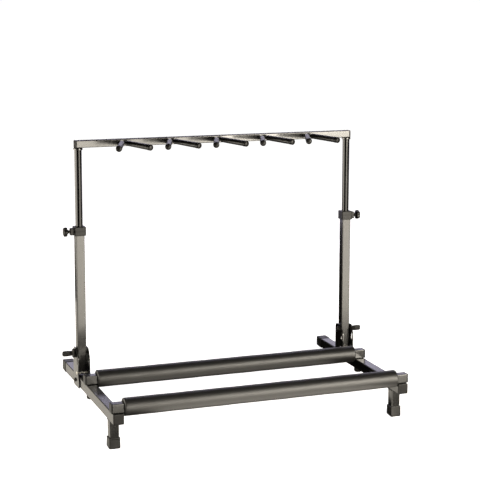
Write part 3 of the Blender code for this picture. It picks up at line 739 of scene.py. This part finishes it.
def pivot_bolt(side, sign):
    """The pivot bolt: a carriage head inside, and a thread that the lock knob runs on."""
    node = f"{side}_pivot_bolt"
    start, head_radius, length = run_of(node, 0, sign)
    dome_height, shank, thread_length = 4.6, 3.9, 14
    shaft = [(shank, dome_height + 0.05), (shank, length - thread_length)]
    thread = ridged(3.65, 0.25, 1.25, np.arange(0, thread_length - 0.6, 0.3)) + (0, length - thread_length)
    profile = np.concatenate((domed(head_radius, dome_height, 7), shaft, thread,
                              [(3.3, length), (POLE, length)]))
    return fit(turned(f"{side.title()}PivotBolt", start, (sign, 0, 0), profile, 36), "base", "oxide", node)


def make_bar_bolts(_sizes):
    """The bolts that hold the cross bars, with socket heads below the rails."""
    shank = 3.0
    for place in ("front", "rear"):
        for side in SIDES:
            node = f"{place}_bar_{side}_bolt"
            start, radius, length = run_of(node, 2)
            head = span(f"{side}_rail")[0][2] - start[2]
            profile = [(POLE, head * 0.45), (2.0, head * 0.45), (2.4, 0.02), (radius * 0.74, 0),
                       (radius * 0.93, head * 0.12), (radius, head * 0.35), (radius, head - 0.7),
                       (radius * 0.97, head - 0.4), (shank, head - 0.35), (shank, length - 1),
                       (2.2, length), (POLE, length)]
            obj = turned(f"{place.title()}{side.title()}BarBolt", start, (0, 0, 1),
                         hold_edges(profile, FINE_MARGIN), 36)
            fit(obj, "base", "oxide", node)


# --- Uprights -----------------------------------------------------------------------------

def make_uprights(sizes):
    """The square lower tubes of both uprights."""
    for side in SIDES:
        square_tube(f"{side}_lower_upright", 2, "upright_frame", sizes.wall)


def make_collars(sizes):
    """The clamp collars: a rounded block with a raised lug and a steel insert round the screw."""
    insert = [(2.7, -2), (4.4, -2), (4.4, 0.05), (4.1, 0.25), (3.0, 0.25), (2.7, 0)]
    lug_root = 1.5
    for side, sign in SIDES.items():
        node = f"{side}_height_collar"
        low, high = span(node)
        (middle, _y, _z), tube_half, _length = run_of(f"{side}_lower_upright", 2)
        half = (high[1] - low[1]) / 2
        reach = high[0] if sign > 0 else low[0]
        low[0], high[0] = middle - half, middle + half
        body = collar_sleeve(f"{side.title()}HeightCollar", low, high, tube_half, sizes.round_tube_radius)
        fit(body, "upright_frame", "plastic", node)
        screw = sum(span(f"{side}_height_knob")) / 2
        root = middle + sign * (half - lug_root)
        lug_half = np.array((abs(reach - root), sizes.lug_width, sizes.lug_height)) / 2
        lug_centre = np.array(((reach + root) / 2, screw[1], screw[2]))
        lug = boxed(f"{side.title()}CollarLug", lug_centre - lug_half, lug_centre + lug_half, 0, 2.0, 0.9)
        fit(lug, "upright_frame", "plastic")
        ring = turned(f"{side.title()}ScrewInsert", (reach, screw[1], screw[2]), (sign, 0, 0), insert, 32,
                      wrap=True)
        fit(ring, "upright_frame", "oxide")


def collar_sleeve(name, low, high, tube_half, round_radius):
    """A collar block with a round bore in its top and a square pocket below for the tube.

    A shallow seam runs round its middle.
    """
    half, height = (high - low)[0] / 2, (high - low)[2]
    bore = half - round_radius - 0.35
    pocket = half - tube_half - 0.35
    foot = quarter(1.3)
    crown = foot[::-1] * (1, -1) + (0, height)
    seam = [(0.0, height * 0.46), (0.25, height * 0.48), (0.25, height * 0.52), (0.0, height * 0.54)]
    top_hole = [(bore - 1.2, height - 0.05), (bore, height - 0.7), (bore, height - 4)]
    tube_hole = [(pocket, height - 5), (pocket, 0.6), (pocket - 0.5, 0.02)]
    profile = hold_edges(np.concatenate((foot, seam, crown, top_hole, tube_hole)))
    square = rounded_outline(half, half, 2.6, 7)
    angle = np.arctan2(square[:, 1], square[:, 0])
    circle = np.stack((np.cos(angle), np.sin(angle)), axis=1) * half
    in_bore = (profile[:, 0] > pocket + 0.5) & (profile[:, 1] > height - 4.6)
    scale = (1 - profile[:, 0] / half)[:, None, None]
    rings = np.empty((len(profile), len(square), 3))
    rings[..., :2] = (low + high)[:2] / 2 + np.where(in_bore[:, None, None], circle, square) * scale
    rings[..., 2] = low[2] + profile[:, 1][:, None]
    return surface(name, rings, wrap=True, edge_wear_and_highlight=outline_edges(square)[None])


def make_knobs(sizes):
    """The lobed height knobs and the lock knobs with their flat grips."""
    for side, sign in SIDES.items():
        height_knob(side, sign, sizes)
        lock_knob(side, sign, sizes)


def height_knob(side, sign, sizes):
    """A thumb screw: a lobed head, a tapered neck and a bright screw through the collar."""
    body = f"{side}_height_knob"
    start, radius, length = run_of(body, 0, sign)
    base = length - sizes.knob_head_depth
    screw_end = base - 2.0
    neck = [(POLE, base - 2.2), (3.4, base - 2.2), (4.0, base - 1.6), (4.3, base + 0.2), (5.6, base + 1.8),
            (radius * 0.72, base + 2.9)]
    under = quarter(2.2, 6) * (-1, 1) + (radius, base + 3.2)
    over = (radius, length) - quarter(2.4, 6)[:, ::-1]
    crown = [(radius * 0.62, length - 0.05), (radius * 0.5, length - 0.5), (radius * 0.2, length - 0.6),
             (POLE, length - 0.6)]
    profile = np.concatenate((neck, under, over, crown))
    weights = np.clip((profile[:, 0] / radius - 0.45) / 0.45, 0, 1)
    head = turned(f"{side.title()}KnobHead", start, (sign, 0, 0), profile, 120,
                  lobes=(sizes.knob_lobes, 0.16, weights))
    fit(head, body, "plastic", body)
    thread = ridged(2.3, 0.18, 0.9, np.arange(0.8, base - 2.4, 0.2))
    screw = np.concatenate(([(POLE, 0), (1.6, 0.05)], thread, [(2.4, screw_end), (POLE, screw_end)]))
    fit(turned(f"{side.title()}KnobScrew", start, (sign, 0, 0), screw, 28), body, "zinc")


def lock_knob(side, sign, sizes):
    """A lock knob: a fluted disc on the pivot bolt and a flat grip that swells to its end."""
    body = f"{side}_lock_knob"
    start, radius, length = run_of(body, 0, sign)
    disc = sizes.lock_disc_depth
    rim = [(4.3, 0.6), (4.6, 0.05), (radius - 1.4, 0), (radius - 0.4, 0.4), (radius, 1.2),
           (radius, disc - 1.6), (radius - 0.5, disc - 0.5), (radius - 1.6, disc)]
    boss = [(7.6, 0.3), (6.6, 1.4), (6.0, 4.0), (5.6, 8.6), (4.6, 9.6), (POLE, 9.8), (POLE, 7.4), (4.3, 7.3)]
    profile = np.concatenate((rim, np.array(boss) + (0, disc)))
    hub = turned(f"{side.title()}LockHub", start, (sign, 0, 0), profile, 144, wrap=True,
                 lobes=(18, 0.05, profile[:, 0] > radius - 0.8))
    fit(hub, body, "plastic", body)
    t = np.linspace(0, 1, 24)
    swell = 0.86 + 0.14 * np.sin(t * math.pi * 0.9)
    round_end = np.sqrt(np.clip(1 - np.clip((t - 0.86) / 0.14, 0, 1) ** 2.4, 0.0004, 1))
    outline = rounded_outline(sizes.grip_depth / 2, sizes.grip_height / 2, sizes.grip_depth * 0.36, 8)
    root = disc + 0.5
    rings = np.empty((len(t), len(outline), 3))
    rings[..., 0] = (start[0] + sign * (root + t * (length - root)))[:, None]
    rings[..., 1] = start[1] + outline[None, :, 0] * (swell * round_end)[:, None]
    rings[..., 2] = start[2] + outline[None, :, 1] * (swell * round_end ** 0.6)[:, None]
    fit(surface(f"{side.title()}LockGrip", rings), body, "plastic")


# --- Neck rest ----------------------------------------------------------------------------

def make_upper_tubes(sizes):
    """The round enamelled tubes, with the coated ring under the top bar."""
    radius = sizes.round_tube_radius
    bore = radius - sizes.wall
    for side in SIDES:
        node = f"{side}_upper_tube"
        start, ring_radius, length = run_of(node, 2)
        base = length - sizes.ring_height
        tube = [(radius - 0.3, 0), (radius, 0.3), (radius, length - 1), (bore, length - 1), (bore, 0.3),
                (bore + 0.3, 0)]
        ring = [(radius + 0.05, base), (ring_radius - 0.9, base), (ring_radius, base + 0.8),
                (ring_radius, length - 1.0), (ring_radius - 0.7, length), (radius + 0.05, length)]
        tube_wall = hold_edges(tube + tube[:1])[:-1]
        ring_wall = hold_edges(ring + ring[:1], FINE_MARGIN)[:-1]
        obj = turned(f"{side.title()}RoundTube", start, (0, 0, 1), tube_wall, 96, wrap=True)
        fit(obj, "neck_rest", "enamel", node)
        obj = turned(f"{side.title()}TubeRing", start, (0, 0, 1), ring_wall, 64, wrap=True)
        fit(obj, "neck_rest", "coat")


def make_top_bar(sizes):
    """The square top bar and the plugs in its ends."""
    square_tube("top_bar", 0, "neck_rest", sizes.wall, corner_share=0.1)
    for side in SIDES:
        end_plug("top_bar", side, "neck_rest", sizes.wall)


def prong_axis(node):
    """A sleeve's axis in rack coordinates: its root, its unit direction and its length.

    The direction is the long principal axis of the node's points, turned towards the front.
    """
    points = node_points(node)
    middle = points.mean(0)
    direction = np.linalg.svd(points - middle, full_matrices=False)[2][0]
    if direction[1] > 0:
        direction = -direction
    along = (points - middle) @ direction
    around = points - middle - np.outer(along, direction)
    root = middle + direction * along.min() + (around.max(0) + around.min(0)) / 2
    return root, direction, along.max() - along.min()


def make_yokes(sizes):
    """Five yokes: a bent rod, its weld on the bar, and a padded sleeve on each prong."""
    count = sum(1 for node in frame["nodes"] if node.endswith("_rod"))
    for number in range(1, count + 1):
        axes = {side: prong_axis(f"yoke_{number}_{side}_sleeve") for side in SIDES}
        yoke_rod(number, axes, sizes)
        for side in SIDES:
            prong_sleeve(number, side, axes[side], sizes)


def yoke_rod(number, axes, sizes):
    """A steel rod bent to a V: two straight legs joined by an arc, and the seams that hold it.

    The legs lie on the sleeves' axes. The arc's centre is on the V's middle line, at the bend
    radius over the sine of the half angle from where the legs would meet.
    """
    root, way, length = axes["right"]
    middle_x = (axes["left"][0][0] + root[0]) / 2
    slope, drop = way[0] / -way[1], way[2] / -way[1]
    half_angle = math.atan(slope)
    apex_back = root[1] + (root[0] - middle_x) / slope
    apex_up = root[2] - drop * (apex_back - root[1])
    bend, rod_radius = sizes.yoke_bend, sizes.yoke_rod_radius
    end_back = root[1] + way[1] * (length - 6)
    angle = np.linspace(-1, 1, 17) * (QUARTER_TURN - half_angle)
    arc_back = apex_back - bend / math.sin(half_angle)
    arc = np.stack((bend * np.sin(angle), arc_back + bend * np.cos(angle)), axis=1)
    backs = np.linspace(end_back, arc[0, 1], 8)[:-1]
    leg = np.stack((-(apex_back - backs) * slope, backs), axis=1)
    flat = np.concatenate((leg, arc, leg[::-1] * (-1, 1)))
    up = apex_up + drop * (apex_back - flat[:, 1])
    path = np.stack((middle_x + flat[:, 0], flat[:, 1], up), axis=1)
    fit(swept(f"Yoke{number}Rod", path, rod_radius), "neck_rest", "coat", f"yoke_{number}_rod")
    weld_back = min(arc[len(arc) // 2, 1] + rod_radius, span("top_bar")[0][1]) - 0.9
    weld_half, weld_up = 5.5, 3.1
    t = np.linspace(-1, 1, 40)
    ripple = sizes.weld_radius * np.sqrt(np.clip(1 - t ** 4, 0.02, 1)) * (1 + 0.12 * np.sin(t * 22))
    for label, sign in (("Upper", 1), ("Lower", -1)):
        seam = np.outer(t, (weld_half, 0, 0)) + (middle_x, weld_back, up[len(up) // 2] + sign * weld_up)
        fit(swept(f"Yoke{number}{label}Weld", seam, ripple, 12), "neck_rest", "weld")


def prong_sleeve(number, side, axis, sizes):
    """A prong's sleeve: a soft tube that widens a little, and a separate moulded end cap.

    The tube's skin carries shallow rings where the foam was cut and pushed on. The cap has a
    rolled lip, a short flat band and a domed end.
    """
    root, way, length = axis
    tip = sizes.sleeve_cap_radius
    start, end = sizes.sleeve_root_radius, sizes.sleeve_tip_radius
    cap = length - sizes.sleeve_cap_length
    bore = sizes.yoke_rod_radius + 0.25
    t = np.linspace(0, 1, 40)
    skin = np.stack((start + (end - start) * t + 0.06 * np.sin(t * 60), 1.2 + t * (cap - 1.4)), axis=1)
    tube = np.concatenate(([(bore, 1.0), (bore + 0.3, 0.1), (start - 1.2, 0), (start - 0.3, 0.4)], skin,
                           [(end - 0.2, cap + 0.5), (bore, cap + 0.5)]))
    sleeve = turned(f"Yoke{number}{side.title()}Sleeve", root, way, tube, 48, wrap=True)
    fit(sleeve, "neck_rest", "rubber", f"yoke_{number}_{side}_sleeve")
    turn = np.linspace(0, QUARTER_TURN, 7)
    dome_depth = 4.2
    dome = np.stack((np.maximum(tip * np.cos(turn) ** 0.8, POLE), length - dome_depth * (1 - np.sin(turn))),
                    axis=1)
    lip = [(POLE, cap + 0.7), (end - 0.4, cap), (tip - 0.25, cap - 0.2), (tip, cap + 0.3), (tip, cap + 1.4),
           (tip - 0.2, cap + 1.8), (tip - 0.15, length - dome_depth - 0.6)]
    end_cap = turned(f"Yoke{number}{side.title()}Cap", root, way, np.concatenate((lip, dome)), 48)
    fit(end_cap, "neck_rest", "plastic")


# --- Stage --------------------------------------------------------------------------------

def soft_box(name, place, facing, size, radiance, colour):
    """A rectangular light that faces a direction, unseen by the camera.

    Its power is the radiance times pi times its area.
    """
    light = bpy.data.lights.new(name, "AREA")
    light.shape = "RECTANGLE"
    light.size, light.size_y = size
    light.energy = radiance * math.pi * size[0] * size[1]
    light.color = linear(colour)[:3]
    lamp = placed(name, light)
    lamp.location = place
    lamp.rotation_euler = Vector(facing).to_track_quat("-Z", "Y").to_euler()
    lamp.visible_camera = False


def make_stage(looks):
    """A pale floor, a white surround, soft boxes and the camera."""
    reach = looks.floor_reach
    floor = bpy.data.meshes.new("Floor")
    corners = [(-reach, -reach, 0), (reach, -reach, 0), (reach, reach, 0), (-reach, reach, 0)]
    floor.from_pydata(corners, [], [(0, 1, 2, 3)])
    floor.materials.append(clouded(
        "matt_white_paper", {"Specular IOR Level": 0.0, "Emission Color": linear("#ffffff"),
                             "Emission Strength": looks.floor_glow},
        (linear("#efeeec"), linear("#f7f6f4")), 900, (0.85, 0.95), ("TexNoise", 500, 0.1, 0.1))[0])
    ground = placed("Floor", floor)
    ground.visible_glossy = False
    ground.visible_diffuse = False

    key, side = looks.key_light, looks.side_light
    warm, cool = "#fff7e8", "#eee9ff"
    boxes = (
        ("FrontLowBox", (0.25, -2.1, 0.25), (0, 1, 0), (1.1, 0.50), key * looks.low_share, warm),
        ("FrontBox", (0.55, -2.1, 0.78), (0, 1, 0), (1.1, 0.56), key, warm),
        ("RightLowBox", (1.3, -1.8, 0.26), (-0.5, 1, 0), (1.0, 0.52), key * looks.low_share, warm),
        ("RightBox", (1.25, -1.8, 1.20), (-0.5, 1, -0.2), (1.1, 1.1), key * looks.right_share, warm),
        ("LeftNearBounce", (-0.50, 0.15, 0.002), (0, 0, 1), (0.26, 1.1), side, warm),
        ("LeftFarBounce", (-1.0, 0.6, 0.002), (0, 0, 1), (0.8, 1.8), side * 0.8, warm),
        ("LeftWall", (-1.5, 0.6, 0.28), (1, -0.1, 0), (2.4, 0.56), looks.wall_light, warm),
        ("FrontBounce", (0.06, -0.44, 0.002), (0, 0, 1), (0.62, 0.40), looks.floor_light * 2.4, warm),
        ("MiddleBounce", (0.0, -0.08, 0.002), (0, 0, 1), (0.6, 0.14), looks.floor_light, warm),
        ("RearBounce", (1.7, 0.9, 0.002), (0, 0, 1), (1.8, 1.2), looks.floor_light * 0.7, warm),
        ("NearFloorBounce", (0.65, -0.90, 0.002), (0, 0, 1), (1.5, 0.40), looks.floor_light * 1.3, warm),
        ("FarFloorBounce", (0.4, -1.52, 0.002), (0, 0, 1), (2.6, 0.96), looks.floor_light * 4.0, warm),
        ("BackBox", (0.65, 1.1, 0.17), (-0.2, -1, 0), (2.1, 0.34), looks.back_light, cool),
        ("BackHighBox", (0.6, 1.6, 0.95), (-0.2, -1, -0.1), (2.0, 0.5), looks.back_light * 2.2, cool),
        ("TopFill", (0.0, 0.2, 2.6), (0, 0, -1), (2.5, 2.5), looks.top_light, "#ffffff"),
    )
    for box in boxes:
        soft_box(*box)

    world = bpy.data.worlds.new("WhiteSurround")
    world.use_nodes = True
    background = world.node_tree.nodes["Background"].inputs
    background["Color"].default_value = linear("#ffffff")
    background["Strength"].default_value = 1.0
    world.cycles_visibility.diffuse = False
    world.cycles_visibility.glossy = False
    bpy.context.scene.world = world
    bpy.context.scene.view_settings.view_transform = "Standard"

    camera_data = bpy.data.cameras.new("RackCamera")
    camera_data.lens = looks.lens
    camera_data.sensor_width = 36
    camera_data.shift_y = looks.shift_up
    camera_data.clip_end = 50
    camera = placed("RackCamera", camera_data)
    turn = (Matrix.Rotation(-math.radians(looks.heading), 4, "Z")
            @ Matrix.Rotation(math.radians(90 - looks.look_down), 4, "X")
            @ Matrix.Rotation(math.radians(looks.roll), 4, "Z"))
    camera.matrix_world = Matrix.Translation(looks.camera_place) @ turn
    bpy.context.scene.camera = camera


# --- Add-on -------------------------------------------------------------------------------

def length_value(name, description, default):
    """A length property, with its default in metres."""
    return FloatProperty(name=name, description=description, default=default, min=0.0, subtype="DISTANCE",
                         unit="LENGTH", precision=5)


def colour_value(name, description, default):
    """A colour property with an sRGB hex code as its default."""
    return FloatVectorProperty(name=name, description=description, subtype="COLOR", size=4, min=0, max=1,
                               default=linear(default))


def share_value(name, description, default, most=1.0):
    """A property without a unit, such as a roughness."""
    return FloatProperty(name=name, description=description, default=default, min=0, max=most,
                         subtype="FACTOR")


def plain_value(name, description, default):
    """A number without a unit or limits."""
    return FloatProperty(name=name, description=description, default=default)


class RackSizes(PropertyGroup):
    """Sizes of the finished surfaces."""
    wall: length_value("Tube wall", "Thickness of the steel tubes", 1.5 * MM)
    weld_radius: length_value("Weld radius", "Radius of the weld seams", 1.5 * MM)
    foam_rounding: length_value("Foam rounding", "Radius of the foam sleeves' cut ends", 2.8 * MM)
    lug_width: length_value("Lug width", "Width of the collars' lugs", 13 * MM)
    lug_height: length_value("Lug height", "Height of the collars' lugs", 17.5 * MM)
    round_tube_radius: length_value("Round tube radius", "Radius of the telescoping tubes", 9 * MM)
    ring_height: length_value("Ring height", "Height of the rings under the top bar", 5 * MM)
    knob_head_depth: length_value("Knob head depth", "Depth of the height knobs' heads", 12 * MM)
    knob_lobes: IntProperty(name="Knob lobes", description="Lobes round a height knob", default=5, min=3)
    lock_disc_depth: length_value("Lock disc depth", "Depth of the lock knobs' discs", 6 * MM)
    grip_height: length_value("Grip height", "Height of the lock knobs' grips", 13.5 * MM)
    grip_depth: length_value("Grip depth", "Thickness of the lock knobs' grips", 7.5 * MM)
    yoke_rod_radius: length_value("Yoke rod radius", "Radius of the yokes' rods", 4 * MM)
    yoke_bend: length_value("Yoke bend", "Radius of the rods' bend, on the centre line", 7 * MM)
    sleeve_root_radius: length_value("Sleeve root radius", "Radius of a sleeve near the bar", 6.6 * MM)
    sleeve_tip_radius: length_value("Sleeve tip radius", "Radius of a sleeve at its cap", 7.1 * MM)
    sleeve_cap_radius: length_value("Cap radius", "Radius of a sleeve's end cap", 7.6 * MM)
    sleeve_cap_length: length_value("Cap length", "Length of a sleeve's end cap", 12 * MM)


# Each finish's name in words, with its darker and its lighter tone.
TONES = {
    "coat": ("powder coat", "#0c0b0a", "#12110f"),
    "enamel": ("round tubes", "#050505", "#0a0909"),
    "plastic": ("plastic", "#0d0c0b", "#161413"),
    "foam": ("foam", "#080706", "#0d0b09"),
    "rubber": ("rubber", "#100f0e", "#1c1a18"),
    "zinc": ("zinc plate", "#b9b6ae", "#dedbd2"),
    "oxide": ("bolts", "#22211f", "#3c3a37"),
}


class RackLooks(PropertyGroup):
    """Colours, light and camera."""
    coat_roughness: share_value("Coat roughness", "Roughness of the powder coat", 0.24)
    coat_gloss: share_value("Coat gloss", "Weight of the powder coat's clear skin", 0.6)
    foam_roughness: share_value("Foam roughness", "Roughness of the foam", 0.39)
    foam_gloss: share_value("Foam gloss", "Strength of the foam's reflections", 0.95)
    floor_reach: length_value("Floor reach", "Half of the floor's width", 15.0)
    floor_glow: share_value("Floor glow", "Light that the floor itself gives to the camera", 1.0, 2.0)
    key_light: share_value("Key light", "Brightness of the front soft box", 7.0, 50.0)
    low_share: share_value("Low boxes", "Brightness of the low front boxes over the key light's", 0.6, 5.0)
    right_share: share_value("Right box", "Brightness of the right soft box over the key light's", 2.0, 5.0)
    side_light: share_value("Side light", "Brightness of the left bounce", 0.8, 50.0)
    wall_light: share_value("Wall light", "Brightness of the wall on the left", 6.0, 50.0)
    floor_light: share_value("Floor light", "Brightness of the floor's bounce", 1.0, 50.0)
    back_light: share_value("Back light", "Brightness of the box behind", 1.0, 50.0)
    top_light: share_value("Top light", "Brightness of the box overhead", 0.08, 50.0)
    lens: plain_value("Lens", "Focal length in millimetres", 104.771)
    shift_up: plain_value("Shift", "Vertical shift of the lens", -0.1)
    heading: plain_value("Heading", "Degrees that the camera looks to the right of straight back", 20.812)
    look_down: plain_value("Look down", "Degrees that the camera looks down", 16.541)
    roll: plain_value("Roll", "Degrees that the camera leans to its left", 3.164)
    camera_place: FloatVectorProperty(name="Camera place", description="Where the camera stands", size=3,
                                      default=(-1.1427, -3.0039, 1.4821), subtype="XYZ", unit="LENGTH")


for _kind, (_words, _dark, _light) in TONES.items():
    for _shade, _code in (("dark", _dark), ("light", _light)):
        RackLooks.__annotations__[f"{_kind}_{_shade}"] = colour_value(
            f"{_kind.title()}, {_shade}", f"{_shade.title()}er tone of the {_words}", _code)


def sizes_of(context):
    """The user's sizes by name, with lengths in millimetres."""
    group = context.scene.rack_sizes
    values = {name: getattr(group, name) for name in RackSizes.__annotations__}
    return SimpleNamespace(**{name: value / MM if isinstance(value, float) else value
                              for name, value in values.items()})


class RACK_OT_stage(Operator):
    """Build the floor, the lights, the surround and the camera"""
    bl_idname = "rack.stage"
    bl_label = "Stage"

    def execute(self, context):
        make_stage(context.scene.rack_looks)
        return {"FINISHED"}


class RACK_OT_side_rails(Operator):
    """Build the side rails and front legs"""
    bl_idname = "rack.side_rails"
    bl_label = "Side rails and legs"

    def execute(self, context):
        make_side_rails(sizes_of(context))
        return {"FINISHED"}


class RACK_OT_rail_ends(Operator):
    """Build the caps, rear feet and rubber feet"""
    bl_idname = "rack.rail_ends"
    bl_label = "Caps and feet"

    def execute(self, context):
        make_rail_ends(sizes_of(context))
        return {"FINISHED"}


class RACK_OT_cross_bars(Operator):
    """Build the cross bars and their plugs"""
    bl_idname = "rack.cross_bars"
    bl_label = "Cross bars"

    def execute(self, context):
        make_cross_bars(sizes_of(context))
        return {"FINISHED"}


class RACK_OT_foam_sleeves(Operator):
    """Build the foam sleeves"""
    bl_idname = "rack.foam_sleeves"
    bl_label = "Foam sleeves"

    def execute(self, context):
        make_foam_sleeves(sizes_of(context))
        return {"FINISHED"}


class RACK_OT_brackets(Operator):
    """Build the hinge brackets, pins and bolts"""
    bl_idname = "rack.brackets"
    bl_label = "Hinge brackets"

    def execute(self, context):
        make_brackets(sizes_of(context))
        return {"FINISHED"}


class RACK_OT_bar_bolts(Operator):
    """Build the bolts under the rails"""
    bl_idname = "rack.bar_bolts"
    bl_label = "Bar bolts"

    def execute(self, context):
        make_bar_bolts(sizes_of(context))
        return {"FINISHED"}


class RACK_OT_uprights(Operator):
    """Build the lower uprights"""
    bl_idname = "rack.uprights"
    bl_label = "Lower uprights"

    def execute(self, context):
        make_uprights(sizes_of(context))
        return {"FINISHED"}


class RACK_OT_collars(Operator):
    """Build the clamp collars"""
    bl_idname = "rack.collars"
    bl_label = "Clamp collars"

    def execute(self, context):
        make_collars(sizes_of(context))
        return {"FINISHED"}


class RACK_OT_knobs(Operator):
    """Build the height knobs and lock knobs"""
    bl_idname = "rack.knobs"
    bl_label = "Knobs"

    def execute(self, context):
        make_knobs(sizes_of(context))
        return {"FINISHED"}


class RACK_OT_upper_tubes(Operator):
    """Build the round upper tubes"""
    bl_idname = "rack.upper_tubes"
    bl_label = "Upper tubes"

    def execute(self, context):
        make_upper_tubes(sizes_of(context))
        return {"FINISHED"}


class RACK_OT_top_bar(Operator):
    """Build the top bar and its plugs"""
    bl_idname = "rack.top_bar"
    bl_label = "Top bar"

    def execute(self, context):
        make_top_bar(sizes_of(context))
        return {"FINISHED"}


class RACK_OT_yokes(Operator):
    """Build the yokes and their sleeves"""
    bl_idname = "rack.yokes"
    bl_label = "Yokes"

    def execute(self, context):
        make_yokes(sizes_of(context))
        return {"FINISHED"}


STEPS = (RACK_OT_stage, RACK_OT_side_rails, RACK_OT_rail_ends, RACK_OT_cross_bars, RACK_OT_foam_sleeves,
         RACK_OT_brackets, RACK_OT_bar_bolts, RACK_OT_uprights, RACK_OT_collars, RACK_OT_knobs,
         RACK_OT_upper_tubes, RACK_OT_top_bar, RACK_OT_yokes)


class RACK_PT_panel(Panel):
    """Lists the steps that build the rack"""
    bl_idname = "RACK_PT_panel"
    bl_label = "Guitar rack"
    bl_space_type = "VIEW_3D"
    bl_region_type = "UI"
    bl_category = "Rack"

    def draw(self, _context):
        for step in STEPS:
            self.layout.operator(step.bl_idname)


CLASSES = (RackSizes, RackLooks, *STEPS, RACK_PT_panel)


def register():
    """Registers the classes and hangs the settings on the scene."""
    for item in CLASSES:
        bpy.utils.register_class(item)
    bpy.types.Scene.rack_sizes = PointerProperty(type=RackSizes)
    bpy.types.Scene.rack_looks = PointerProperty(type=RackLooks)


def unregister():
    """Takes the settings and classes away again."""
    del bpy.types.Scene.rack_looks
    del bpy.types.Scene.rack_sizes
    for item in reversed(CLASSES):
        bpy.utils.unregister_class(item)


def main():
    """Builds every piece."""
    register()
    for step in STEPS:
        group, name = step.bl_idname.split(".")
        getattr(getattr(bpy.ops, group), name)()
    bpy.context.view_layer.update()


if __name__ == "__main__":
    main()
